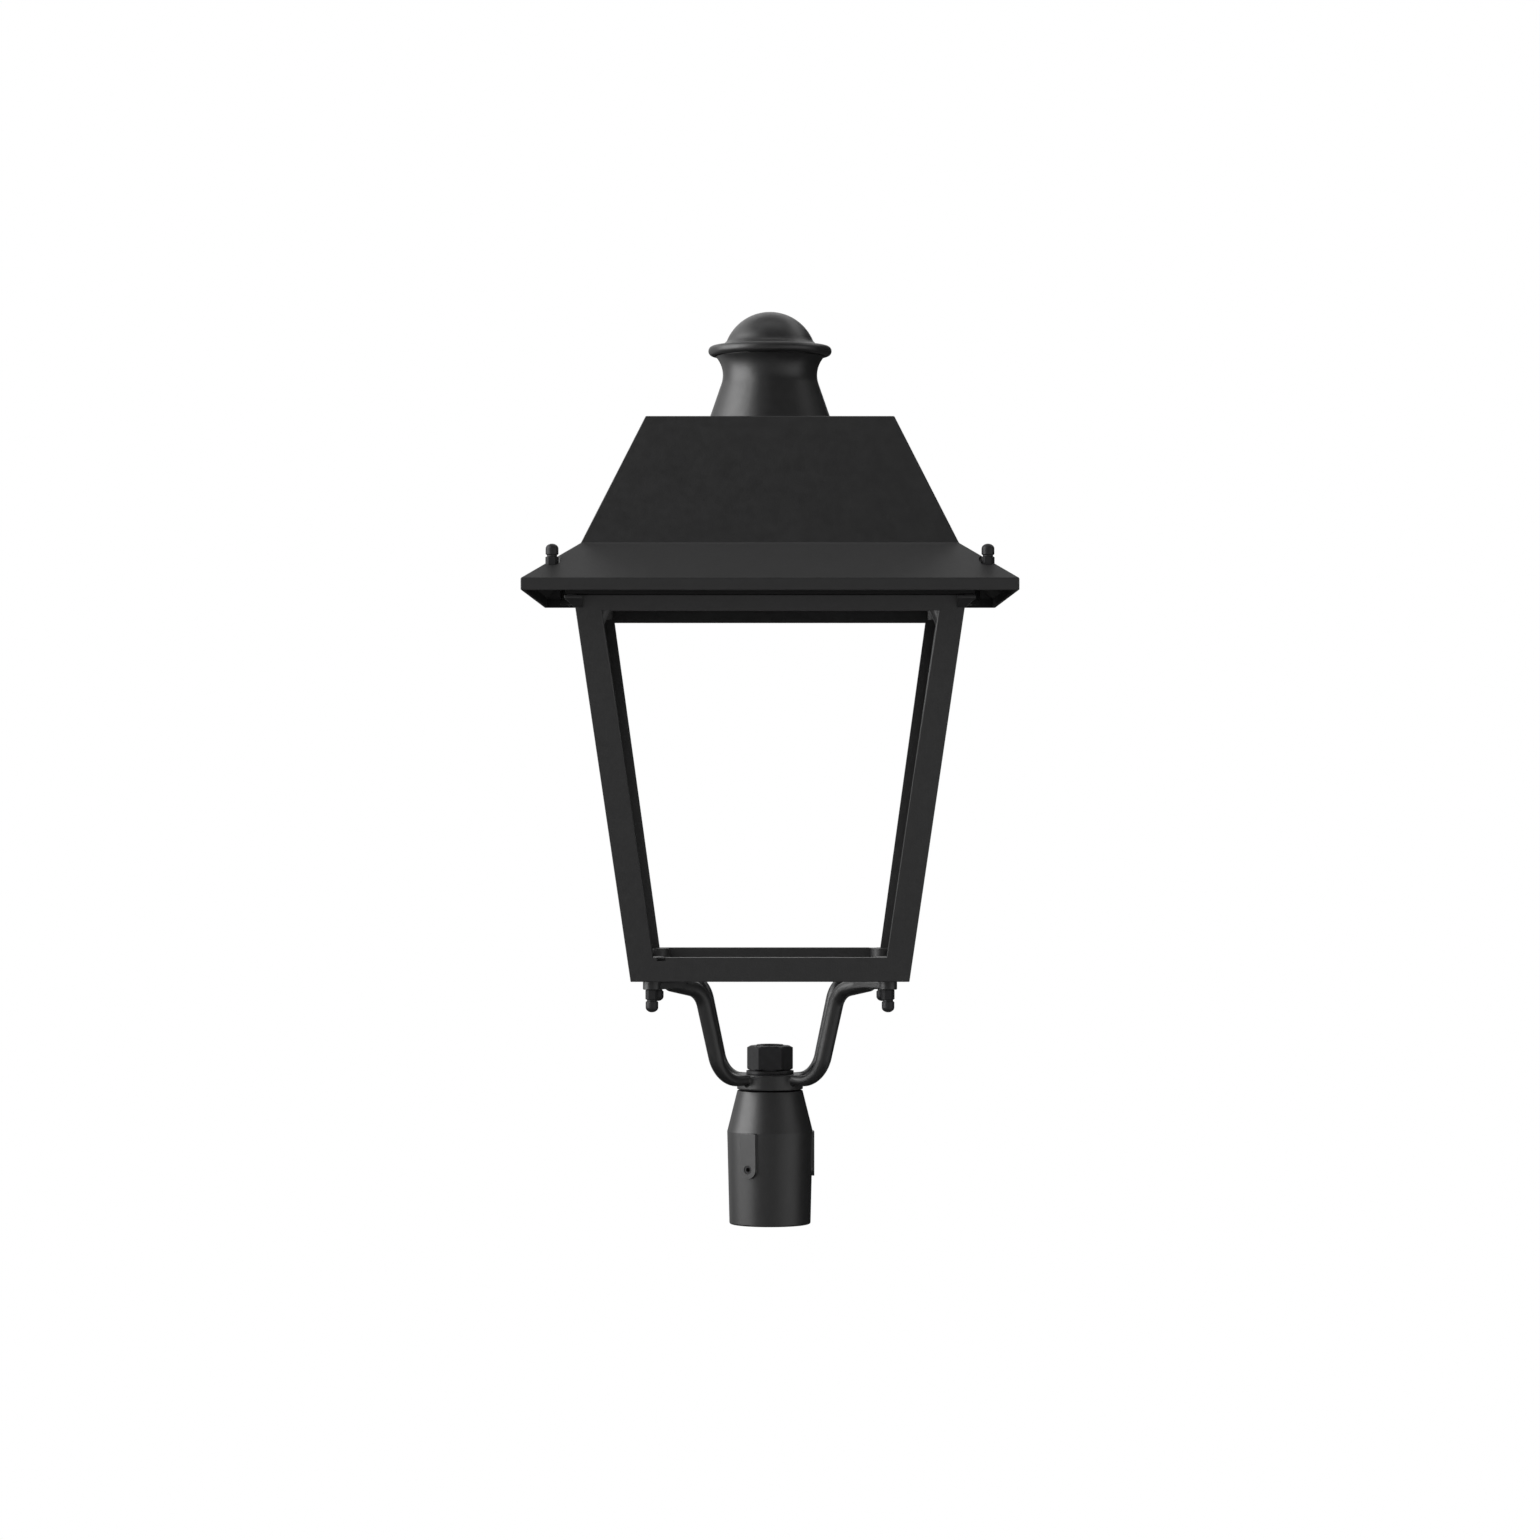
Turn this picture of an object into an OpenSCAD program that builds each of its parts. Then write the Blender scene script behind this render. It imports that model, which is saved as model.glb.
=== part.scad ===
// Four-sided LED lantern that stands on a post top.
// Millimetres, +Z up, front towards -Y. The origin is the centre of the post socket's bottom rim.
// The fork's four arms are the hard part: each is a tapered rod, swept through two bends in a diagonal plane.

/* [Post socket] */
// Diameter of the bore that takes the post top
post_bore_d = 62; // [58:0.5:64]
// Depth of that bore, from the rim up to the stop
post_bore_depth = 80; // [65:1:82]
// Thickness of the socket's wall at the rim
socket_rim_t = 5.85; // [5:0.05:7]
// Thickness of its wall at the shoulder, where the cone starts
socket_shoulder_t = 7.85; // [7:0.05:8.5]
// Height of the shoulder
socket_shoulder_z = 84; // [83:1:90]
// Outer diameter at the top of the cone
socket_top_d = 59.2; // [56:0.1:64]
// Height of the socket
socket_h = 121; // [118:1:126]
// Width of each clamp screw's pad
pad_w = 16; // [14:0.5:20]
// How far the flat face of a pad stands out past the shoulder
pad_proud = 1.35; // [1:0.05:3]
// Height of the clamp screws
clamp_z = 51.5; // [40:0.5:60]
// Thread diameter of the clamp screws
clamp_d = 8; // [6:1:8]
// Length of the clamp screws
clamp_len = 8; // [6:1:8]

/* [Swivel joint] */
// Outer diameter of the hollow threaded nipple
nipple_d = 24; // [22:0.5:25]
// Diameter of the cable way through the nipple
cable_way_d = 18; // [14:0.5:18.5]
// Diameter of the fork's collar
collar_d = 59.4; // [56:0.1:64]
// Height of the fork's collar
collar_h = 14; // [13:0.5:16]
// Diameter of the washer under the lock nut
washer_d = 43; // [42:0.5:44]
// Thickness of that washer
washer_t = 3; // [2:0.5:4]
// Width across the flats of the lock nut
lock_nut_af = 36; // [34:0.5:37]
// Height of the lock nut
lock_nut_h = 22.5; // [18:0.5:25]

/* [Fork] */
// Diameter of the arms' round rod above its lower bend
rod_d = 14; // [12:0.5:15]
// Distance from the axis to the lower bend's corner
knee_reach = 61.7; // [59:0.1:63]
// Distance from an arm's eye back to the upper bend's corner
elbow_back = 61.1; // [58:0.1:64]
// Radius of the lower bend
knee_bend_r = 30; // [24:1:32]
// Radius of the upper bend
elbow_bend_r = 22; // [18:1:26]
// Height of the lantern frame's underside, where the arms bolt on
frame_z = 224.6; // [222:0.1:230]
// Distance in X and in Y from the frame's sides in to each arm's bolt
fork_bolt_in = 18.4; // [17:0.1:20]
// Diameter of the eye at the end of an arm
eye_d = 16; // [15:0.5:20]
// Thickness of the eye
eye_t = 7.5; // [6:0.5:9]

/* [Lantern frame] */
// Width across the frame's underside
frame_bottom_w = 245.8; // [243:0.2:249]
// Width across the frame's top
frame_top_w = 342.5; // [338:0.5:344]
// Height of the frame
frame_h = 338.9; // [300:0.1:380]
// Width of a corner post's face
post_w = 23; // [20:0.5:26]
// Thickness of the frame's wall
frame_t = 12; // [10:0.5:14]
// Height of the bottom rail
bottom_rail_h = 21.5; // [18:0.5:26]
// Height of the top rail
top_rail_h = 13.1; // [12:0.1:18]

/* [Roof] */
// How far the eave stands out past the frame's top on each side
eave_out = 43.75; // [40:0.25:50]
// Height of the eave's upright edge
eave_edge_h = 10.4; // [8:0.1:14]
// How far the flare above the eave draws in on each side
flare_run = 50; // [46:0.5:52]
// Height of the flare
flare_h = 32.7; // [30:0.1:36]
// How far the steep sides draw in on each side
steep_run = 55.1; // [50:0.1:60]
// Height of the steep sides
steep_h = 114.9; // [105:0.1:130]
// Thickness of the roof's wall
roof_t = 3; // [2:0.5:4]
// Distance in X and in Y from the frame's top out to each roof stud
roof_stud_out = 17.75; // [16:0.25:19]

/* [Chimney] */
// Radius of the chimney at its foot
chimney_foot_r = 57.1; // [54:0.1:62]
// Radius at the waist
chimney_waist_r = 42.8; // [40:0.1:43.5]
// Height of the chimney
chimney_h = 62; // [58:0.1:68]
// Radius of the curve from the waist to the lip
chimney_curve_r = 25; // [22:0.5:28]
// Radius of the cap's brim
brim_r = 56; // [54:0.5:60]
// Radius of the cap's dome where it meets the brim
dome_foot_r = 41; // [38:0.5:42]
// Height of the dome above the brim
dome_h = 27; // [24:0.5:32]

/* [Lighting gear] */
// Width of the light window in the gear tray
window_w = 130; // [120:1:134]
// Thickness of the gear tray
tray_t = 4.5; // [4:0.5:6]
// How far the toughened glass laps over each edge of the light window
glass_lap = 11; // [9:0.5:12]
// Thickness of the glass
glass_t = 4; // [3:0.5:5]
// Height of the heat sink's fins
fin_h = 20; // [12:1:26]
// Number of fins
fin_count = 11; // [7:1:13]
// Number of light-emitting diodes along one side of the board
led_count = 5; // [3:1:6]
// Length of the driver's case
driver_len = 150; // [120:1:156]
// Width of the driver's case
driver_w = 42; // [36:1:44]
// Height of the driver's case
driver_h = 30; // [24:1:32]
// Diameter of the internal leads
lead_d = 6; // [5:0.5:7]

/* [Hidden] */
// Smoothness of round faces and of bent rods
$fn = 64;
BEND_STEPS = 8;
ROD_SIDES = 20;
LEAD_SIDES = 10;
LENS_SIDES = 24;
ARC_STEPS = 10;
// Running clearance on a radius, gap between faces that turn, and clearance of a bolt hole
run_gap = 0.05;
face_gap = 0.1;
bolt_gap = 0.3;
// How far a cutter runs past the face that it cuts
past = 1;
// Metric screws: radius of each thread
m6_r = 3;
m5_r = 2.5;
m4_r = 2;
m3_r = 1.5;
// Radius of a screw's head and width of its hexagon socket, for each unit of thread radius
head_ratio = 1.8;
key_ratio = 1.7;

// Post socket
post_bore_r = post_bore_d / 2;
socket_stop_w = 7;
socket_top_t = 12;
rim_round_r = 1.5;
pad_root = post_bore_r + 2;
pad_reach = post_bore_r + socket_shoulder_t + pad_proud;
clamp_recess = 0.6;
hex_key_af = 4;
hex_key_depth = 4;
// Swivel joint
nipple_engage = socket_top_t + 3;
nipple_stand_out = 1;
thrust_r = socket_top_d / 2 - 3.6;
thrust_h = 0.9;
collar_z = socket_h + face_gap;
collar_top_z = collar_z + thrust_h + collar_h;
washer_z = collar_top_z + face_gap;
lock_nut_z = washer_z + washer_t;
lock_nut_top_z = lock_nut_z + lock_nut_h;
nut_chamfer = 1.5;
// Fork
fork_bolt_xy = frame_bottom_w / 2 - fork_bolt_in;
eye_reach = fork_bolt_xy * sqrt(2);
eye_neck_len = 35.8;
eye_neck_w = 14;
rod_drop = 4.8;
rod_z = collar_top_z - rod_drop;
rod_start = washer_d / 2 + 1.5;
rod_root_r = rod_d / 2 - 2.4;
rod_knee_r = rod_d / 2 - 0.9;
elbow_drop = 10.5;
elbow_reach = eye_reach - elbow_back;
elbow_z = frame_z - elbow_drop;
rod_end_back = 21.8;
rod_end_drop = 2.8;
rod_end = eye_reach - rod_end_back;
rod_end_z = frame_z - rod_end_drop;
// Acorn nuts and studs
acorn_af = 10;
acorn_hex_h = 9;
acorn_waist_r = 4.1;
acorn_waist_h = 1.8;
acorn_head_r = 4.8;
acorn_head_h = 10.6;
acorn_bore_h = 14;
stud_in_nut = 13;
fork_stud_in_frame = 15;
// Lantern frame
frame_top_z = frame_z + frame_h;
frame_slope = (frame_top_w - frame_bottom_w) / 2 / frame_h;
fork_boss_r = 11;
gusset_w = 7;
gusset_h = 12;
lug_proud = 7.75;
lug_reach = frame_top_w / 2 + lug_proud;
lug_flare = 8;
lug_rim_h = 2.5;
lug_root = frame_top_w / 2 - post_w;
tray_screw_in = 13;
tray_screw_xy = frame_top_w / 2 - tray_screw_in;
tray_screw_grip = 8;
tray_screw_hole_h = 9;
drain_r = 4.2;
drain_depth = 3;
drain_in = 26.9;
drain_x = frame_bottom_w / 2 - drain_in;
// Gear tray
gasket_t = 1.2;
gasket_inset = 2.2;
gasket_w = 7.5;
tray_z = frame_top_z + gasket_t;
tray_top_z = tray_z + tray_t;
tray_set_back = 1;
tray_half = lug_reach - tray_set_back;
roof_stud_xy = frame_top_w / 2 + roof_stud_out;
ear_r = 10;
ear_web_w = 18;
ear_len = 30;
ear_z = tray_top_z - 1;
ear_top_z = tray_top_z + 4;
// Roof
eave_half = frame_top_w / 2 + eave_out;
break_half = eave_half - flare_run;
roof_top_half = break_half - steep_run;
eave_rise = 2.9;
eave_z = frame_top_z + eave_rise;
flare_z = eave_z + eave_edge_h;
break_z = flare_z + flare_h;
roof_top_z = break_z + steep_h;
flare_drop = roof_t * sqrt(flare_run * flare_run + flare_h * flare_h) / flare_run;
steep_inset = roof_t * sqrt(steep_run * steep_run + steep_h * steep_h) / steep_h;
steep_rate = steep_run / steep_h;
flare_rate = flare_h / flare_run;
inner_break_step = (steep_inset - flare_drop * steep_rate) / (1 - steep_rate * flare_rate);
inner_break_half = break_half - inner_break_step;
inner_break_z = break_z - flare_drop + inner_break_step * flare_rate;
roof_boss_r = 10;
nut_well_r = 8;
nut_well_lip = 1.2;
nut_seat_z = flare_z + (eave_half - roof_stud_xy - nut_well_r) * flare_rate - nut_well_lip;
// Chimney
chimney_t = 3;
chimney_foot_t = 4;
chimney_foot_in_r = chimney_foot_r - 19.1;
lean_angle = 18.5;
lip_angle = 41.6;
chimney_top_z = roof_top_z + chimney_h;
curve_mid_z = chimney_top_z - chimney_curve_r * sin(lip_angle);
curve_centre_r = chimney_waist_r + chimney_curve_r;
lip_r = curve_centre_r - chimney_curve_r * cos(lip_angle);
roof_hole_r = chimney_foot_in_r - 2;
neck_screw_reach = chimney_foot_r - 11.1;
neck_boss_r = 5;
neck_boss_h = 13;
neck_screw_grip = 10;
web_rise = 6;
web_z = curve_mid_z + web_rise;
web_t = 4;
// Cap
cap_foot_h = 1.2;
cap_foot_r = lip_r - chimney_t - 0.6;
cap_foot_w = 3;
brim_z = chimney_top_z + cap_foot_h;
brim_t = 6;
dome_rise = 13.7;
dome_z = chimney_top_z + dome_rise;
dome_r = (dome_foot_r * dome_foot_r + dome_h * dome_h) / 2 / dome_h;
dome_angle = asin(dome_foot_r / dome_r);
cap_t = 3;
cap_boss_r = 6;
cap_screw_hole_h = 14;
cap_screw_grip = 12;
// Light unit on the gear tray
seal_t = 1.5;
seal_w = 8;
glass_half = window_w / 2 + glass_lap;
glass_z = tray_top_z + seal_t;
glass_top_z = glass_z + glass_t;
sink_wall_t = 8;
sink_half = glass_half + sink_wall_t;
sink_flange_w = 11;
sink_flange_half = sink_half + sink_flange_w;
sink_flange_t = 4;
sink_cavity_half = glass_half - seal_w;
sink_cavity_h = 15.3;
sink_ceiling_z = glass_top_z + sink_cavity_h;
sink_base_t = 7;
sink_base_z = sink_ceiling_z + sink_base_t;
fin_t = 2.4;
sink_screw_xy = (sink_half + sink_flange_half) / 2;
board_gap = 6;
board_half = sink_cavity_half - board_gap;
board_t = 1.6;
board_z = sink_ceiling_z - board_t;
chip_w = 5;
chip_t = 1;
lens_half = board_half - 2;
lens_plate_t = 2;
lens_leg_h = 6.4;
lens_plate_z = board_z - lens_leg_h;
lens_tip_r = 4;
lens_root_r = 6.5;
lens_h = 3.5;
lens_leg_in = 5;
lens_leg_xy = lens_half - lens_leg_in;
lens_leg_r = 3.5;
lens_screw_grip = 4;
lens_screw_hole_h = 5;
led_margin = 14;
led_pitch = 2 * (lens_half - led_margin) / (led_count - 1);
// Driver, surge protector and terminal block on the gear tray
gear_gap = 11;
driver_y = sink_flange_half + gear_gap + driver_w / 2;
foot_t = 3;
foot_len = 10;
surge_x = 32;
surge_len = 60;
surge_w = 30;
surge_h = 26;
terminal_x = -42;
terminal_len = 44;
terminal_w = 22;
terminal_h = 18;
terminal_ways = 3;
terminal_well_h = 6;
gear_y = -sink_flange_half - gear_gap - surge_w / 2;
// Cable gland, with its thread through the gear tray
gland_x = -(sink_flange_half + frame_top_w / 2 - frame_t) / 2;
gland_r = 10;
gland_hex_af = 24;
gland_hex_h = 6;
gland_dome_r = 11;
gland_dome_h = 12;
gland_round_r = 5;
gland_way_r = 6;
gland_nut_h = 5;
gland_stand_out = 1;
gland_thread_h = tray_t + gland_nut_h + gland_stand_out;
// Leads: routes through the space round the heat sink
lead_rise = 14;
lead_z = tray_top_z + lead_rise;
lead_bend_r = 12;
lead_side_x = sink_flange_half + lead_d / 2 + 2;
grommet_y = 25;
grommet_r = lead_d / 2 + 2;
// Screw heads
pan_head_h = 3;
cap_head_h = 4;

// Points on a path with its corners rounded, each corner as an arc
function unit(v) = v / norm(v);
function corner_arc(a, b, c, radius) =
    let (
        back = unit(a - b),
        on = unit(c - b),
        half = acos(back * on) / 2,
        turn = 180 - 2 * half,
        centre = b + unit(back + on) * radius / sin(half),
        run = radius / tan(half),
        first = unit(b + back * run - centre),
        last = unit(b + on * run - centre)
    )
    [
        for (i = [0:BEND_STEPS])
            let (s = i / BEND_STEPS)
            centre + radius * (sin((1 - s) * turn) * first + sin(s * turn) * last) / sin(turn)
    ];
function rounded(points, radii) = [
    points[0],
    for (i = [1:len(points) - 2])
        each corner_arc(points[i - 1], points[i], points[i + 1], radii[i - 1]),
    points[len(points) - 1]
];

// Direction of a path at one of its points
function heading(path, i) = unit(path[min(i + 1, len(path) - 1)] - path[max(i - 1, 0)]);

// Round rod swept along a path in the plane square to normal, with a radius for each point of the path
module rod(path, radii, normal, sides) {
    last = len(path) - 1;
    points = [
        for (i = [0:last])
            let (side = cross(heading(path, i), normal))
            for (k = [0:sides - 1])
                let (a = 360 * k / sides)
                path[i] + radii[i] * (cos(a) * normal + sin(a) * side)
    ];
    walls = [
        for (i = [0:last - 1])
            for (k = [0:sides - 1])
                let (next = (k + 1) % sides)
                [i * sides + k, (i + 1) * sides + k, (i + 1) * sides + next, i * sides + next]
    ];
    start_cap = [for (k = [0:sides - 1]) k];
    end_cap = [for (k = [sides - 1:-1:0]) last * sides + k];
    polyhedron(points = points, faces = concat([start_cap], walls, [end_cap]));
}

// The same radius for each point of a path
function even(path, radius) = [for (point = path) radius];

// Points of an arc in a lathe profile: radius from the axis, then height
function profile_arc(centre_r, centre_z, radius, from, to) = [
    for (i = [0:ARC_STEPS])
        let (a = from + (to - from) * i / ARC_STEPS)
        [centre_r + radius * cos(a), centre_z + radius * sin(a)]
];

// Square block, half wide to each side of the axis, from one height to another
module block(half, z_low, z_high) {
    translate([-half, -half, z_low]) cube([2 * half, 2 * half, z_high - z_low]);
}

// Solid with four like sides about the axis, from the outline of one side: half-width and height,
// from the bottom up
module four_sided(outline) {
    intersection() {
        mirrored_slab(outline);
        rotate([0, 0, 90]) mirrored_slab(outline);
    }
}
module mirrored_slab(outline) {
    reach = max([for (point = outline) point[0]]) + past;
    left = [for (i = [len(outline) - 1:-1:0]) [-outline[i][0], outline[i][1]]];
    rotate([90, 0, 0])
        linear_extrude(height = 2 * reach, center = true) polygon(concat(outline, left));
}

// Copies at the four corners of a square, at distance xy in X and in Y
module four_corners(xy) {
    for (a = [0:90:270])
        rotate([0, 0, a])
            translate([xy, xy, 0]) children();
}

// Upright pin or hole
module upright(radius, z_low, z_high) {
    translate([0, 0, z_low]) cylinder(h = z_high - z_low, r = radius);
}

// Hexagonal prism with its first flat facing +Y
module hexagon(across_flats, height) {
    cylinder(h = height, r = across_flats / 2 / cos(30), $fn = 6);
}

// Screw that points up, with its head below the seat
module screw_up(thread_r, seat_z, length, head_h) {
    upright(thread_r, seat_z, seat_z + length);
    upright(thread_r * head_ratio, seat_z - head_h, seat_z);
}

// Screw that points down, with its head above the seat
module screw_down(thread_r, seat_z, length, head_h) {
    upright(thread_r, seat_z - length, seat_z);
    difference() {
        upright(thread_r * head_ratio, seat_z, seat_z + head_h);
        translate([0, 0, seat_z + head_h / 2]) hexagon(thread_r * key_ratio, head_h);
    }
}

// Acorn nut: hexagon, waist and round-ended head, standing on its seat
module acorn_nut() {
    head_z = acorn_hex_h + acorn_waist_h;
    round_z = head_z + acorn_head_h - acorn_head_r;
    difference() {
        union() {
            hexagon(acorn_af, acorn_hex_h);
            rotate_extrude()
                polygon(concat(
                    [[0, acorn_hex_h], [acorn_waist_r, acorn_hex_h], [acorn_waist_r, head_z],
                     [acorn_head_r, head_z]],
                    profile_arc(0, round_z, acorn_head_r, 0, 90)
                ));
        }
        translate([0, 0, -past]) cylinder(h = acorn_bore_h + past, r = m6_r + run_gap);
    }
}

// Half-width of the frame's outside at a height
function frame_half(z) = frame_bottom_w / 2 + (z - frame_z) * frame_slope;

// Socket that slips over the post top
module post_socket() {
    rim_r = post_bore_r + socket_rim_t;
    shoulder_r = post_bore_r + socket_shoulder_t;
    stop_r = post_bore_r - socket_stop_w;
    top_low_z = socket_h - socket_top_t;
    color("#2a2a2b")
    difference() {
        union() {
            rotate_extrude()
                polygon(concat(
                    [[post_bore_r, 0]],
                    profile_arc(rim_r - rim_round_r, rim_round_r, rim_round_r, -90, 0),
                    [[shoulder_r, socket_shoulder_z], [socket_top_d / 2, socket_h],
                     [nipple_d / 2 + run_gap, socket_h], [nipple_d / 2 + run_gap, top_low_z],
                     [stop_r, top_low_z], [stop_r, post_bore_depth], [post_bore_r, post_bore_depth]]
                ));
            for (a = [0, 120, 240])
                rotate([0, 0, a]) clamp_pad();
        }
        for (a = [0, 120, 240])
            rotate([0, 0, a])
                translate([post_bore_r - past, 0, clamp_z])
                    rotate([0, 90, 0]) cylinder(h = pad_reach, r = clamp_d / 2);
    }
}

// Raised pad with a round lower end, round one clamp screw
module clamp_pad() {
    pad_depth = pad_reach - pad_root;
    translate([pad_root, 0, clamp_z]) rotate([0, 90, 0]) cylinder(h = pad_depth, r = pad_w / 2);
    translate([pad_root, -pad_w / 2, clamp_z]) cube([pad_depth, pad_w, socket_shoulder_z - clamp_z]);
}

// Grub screw with a hexagon socket, in the pad at angle a
module clamp_screw(a) {
    head_x = pad_reach - clamp_recess;
    color("#1c1c1d")
    rotate([0, 0, a])
        difference() {
            translate([head_x - clamp_len, 0, clamp_z])
                rotate([0, 90, 0]) cylinder(h = clamp_len, r = clamp_d / 2 - run_gap);
            translate([head_x - hex_key_depth, 0, clamp_z])
                rotate([0, 90, 0]) hexagon(hex_key_af, hex_key_depth + past);
        }
}
module clamp_screw_right() { clamp_screw(0); }
module clamp_screw_back() { clamp_screw(120); }
module clamp_screw_front() { clamp_screw(240); }

// Hollow threaded nipple: the pivot of the swivel joint and the way for the supply cable
module cable_nipple() {
    low_z = socket_h - nipple_engage;
    high_z = lock_nut_top_z + nipple_stand_out;
    color("#38383a")
    difference() {
        upright(nipple_d / 2, low_z, high_z);
        upright(cable_way_d / 2, low_z - past, high_z + past);
    }
}

module collar_washer() {
    color("#2c2c2d")
    difference() {
        upright(washer_d / 2, washer_z, washer_z + washer_t);
        upright(nipple_d / 2 + bolt_gap, washer_z - past, washer_z + washer_t + past);
    }
}

module lock_nut() {
    corner_r = lock_nut_af / 2 / cos(30);
    color("#2a2a2b")
    difference() {
        intersection() {
            translate([0, 0, lock_nut_z]) hexagon(lock_nut_af, lock_nut_h);
            translate([0, 0, lock_nut_z])
                rotate_extrude()
                    polygon([[0, 0], [corner_r, 0], [corner_r, lock_nut_h - nut_chamfer],
                             [corner_r - 2 * nut_chamfer, lock_nut_h], [0, lock_nut_h]]);
        }
        upright(nipple_d / 2 + run_gap, lock_nut_z - past, lock_nut_top_z + past);
    }
}

// Collar with four bent arms, each ending in an eye under a corner of the frame
module spider_fork() {
    color("#2a2a2b") {
        difference() {
            union() {
                upright(collar_d / 2, collar_z + thrust_h, collar_top_z);
                upright(thrust_r, collar_z, collar_z + thrust_h + past);
            }
            upright(nipple_d / 2 + run_gap, collar_z - past, collar_top_z + past);
        }
        for (a = [45:90:315])
            rotate([0, 0, a]) fork_arm();
    }
}

module fork_arm() {
    corners = [
        [rod_start, 0, rod_z],
        [knee_reach, 0, rod_z],
        [elbow_reach, 0, elbow_z],
        [rod_end, 0, rod_end_z]
    ];
    path = rounded(corners, [knee_bend_r, elbow_bend_r]);
    knee_end = BEND_STEPS + 1;
    taper = [[0, rod_root_r], [knee_end, rod_knee_r], [knee_end + 1, rod_d / 2]];
    difference() {
        union() {
            rod(path, [for (i = [0:len(path) - 1]) lookup(i, taper)], [0, 1, 0], ROD_SIDES);
            translate([eye_reach - eye_neck_len, -eye_neck_w / 2, frame_z - eye_t])
                cube([eye_neck_len, eye_neck_w, eye_t]);
            translate([eye_reach, 0, 0]) upright(eye_d / 2, frame_z - eye_t, frame_z);
        }
        translate([eye_reach, 0, 0]) upright(m6_r + bolt_gap, frame_z - eye_t - past, frame_z + past);
    }
}

// Studs that hold the frame on the fork
module fork_studs() {
    color("#6a6a6c")
    four_corners(fork_bolt_xy)
        upright(m6_r, frame_z - eye_t - stud_in_nut, frame_z + fork_stud_in_frame);
}

module fork_nuts() {
    color("#343436")
    four_corners(fork_bolt_xy)
        translate([0, 0, frame_z - eye_t]) mirror([0, 0, 1]) acorn_nut();
}

// Cast frame: four leaning corner posts between two square rails
module lantern_frame() {
    window_low_z = frame_z + bottom_rail_h;
    window_high_z = frame_top_z - top_rail_h;
    color("#2b2b2c")
    difference() {
        union() {
            difference() {
                four_sided([[frame_bottom_w / 2, frame_z], [frame_top_w / 2, frame_top_z]]);
                four_sided([
                    [frame_half(frame_z - past) - frame_t, frame_z - past],
                    [frame_half(frame_top_z + past) - frame_t, frame_top_z + past]
                ]);
                for (a = [0, 90])
                    rotate([0, 0, a]) window_cut(window_low_z, window_high_z);
            }
            intersection() {
                four_corners(fork_bolt_xy) upright(fork_boss_r, frame_z, window_low_z);
                four_sided([[frame_bottom_w / 2, frame_z], [frame_half(window_low_z), window_low_z]]);
            }
            corner_lugs();
        }
        four_corners(fork_bolt_xy) upright(m6_r, frame_z - past, frame_z + fork_stud_in_frame);
        four_corners(tray_screw_xy) upright(m5_r, frame_top_z - tray_screw_hole_h, frame_top_z + past);
        for (a = [0:90:270])
            rotate([0, 0, a])
                translate([-drain_x, -frame_half(window_low_z) + drain_r / 2, 0])
                    upright(drain_r, window_low_z - drain_depth, window_low_z + past);
    }
}

// The openings of two opposite sides, cut in one go, with a gusset left in each upper corner
module window_cut(z_low, z_high) {
    gusset_z = z_high - gusset_h;
    low = frame_half(z_low) - post_w;
    wide = frame_half(gusset_z) - post_w;
    high = frame_half(z_high) - post_w - gusset_w;
    rotate([90, 0, 0])
        linear_extrude(height = 2 * frame_top_w, center = true)
            polygon([
                [-low, z_low], [low, z_low], [wide, gusset_z],
                [high, z_high], [-high, z_high], [-wide, gusset_z]
            ]);
}

// Blocks that carry the gear tray on top of the four posts, flared out at 45 degrees
module corner_lugs() {
    rim_z = frame_top_z - lug_rim_h;
    intersection() {
        four_sided([
            [lug_reach - lug_flare, rim_z - lug_flare], [lug_reach, rim_z],
            [lug_reach, frame_top_z]
        ]);
        four_corners(lug_root)
            translate([0, 0, rim_z - 2 * lug_flare]) cube([frame_top_w, frame_top_w, 3 * lug_flare]);
    }
}

// Flat seal between the frame and the gear tray
module tray_gasket() {
    outer = frame_top_w / 2 - gasket_inset;
    color("#101010")
    difference() {
        block(outer, frame_top_z, tray_z);
        block(outer - gasket_w, frame_top_z - past, tray_z + past);
        four_corners(tray_screw_xy) upright(m5_r + bolt_gap, frame_top_z - past, tray_z + past);
    }
}

// Plate that carries the lighting gear, with a raised ear for each roof stud
module gear_tray() {
    color("#262627")
    difference() {
        union() {
            block(tray_half, tray_z, tray_top_z);
            four_corners(roof_stud_xy) {
                upright(ear_r, ear_z, ear_top_z);
                rotate([0, 0, -135])
                    translate([0, -ear_web_w / 2, ear_z])
                        cube([ear_len, ear_web_w, ear_top_z - ear_z]);
            }
        }
        block(window_w / 2, tray_z - past, tray_top_z + past);
        four_corners(roof_stud_xy) upright(m6_r, ear_z - past, ear_top_z + past);
        four_corners(tray_screw_xy) upright(m5_r + bolt_gap, tray_z - past, tray_top_z + past);
        four_corners(sink_screw_xy) upright(m5_r, tray_z - past, tray_top_z + past);
        gear_screw_places() upright(m4_r, tray_z - past, tray_top_z + past);
        translate([gland_x, 0, 0]) upright(gland_r + bolt_gap, tray_z - past, tray_top_z + past);
    }
}

module tray_screws() {
    color("#6a6a6c")
    four_corners(tray_screw_xy) screw_down(m5_r, tray_top_z, tray_t + gasket_t + tray_screw_grip, cap_head_h);
}

// Studs that stand on the gear tray's ears and hold the roof down
module roof_studs() {
    color("#6a6a6c")
    four_corners(roof_stud_xy) upright(m6_r, ear_z, nut_seat_z + stud_in_nut);
}

module glass_gasket() {
    color("#101010")
    difference() {
        block(glass_half, tray_top_z, glass_z);
        block(glass_half - seal_w, tray_top_z - past, glass_z + past);
    }
}

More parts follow.
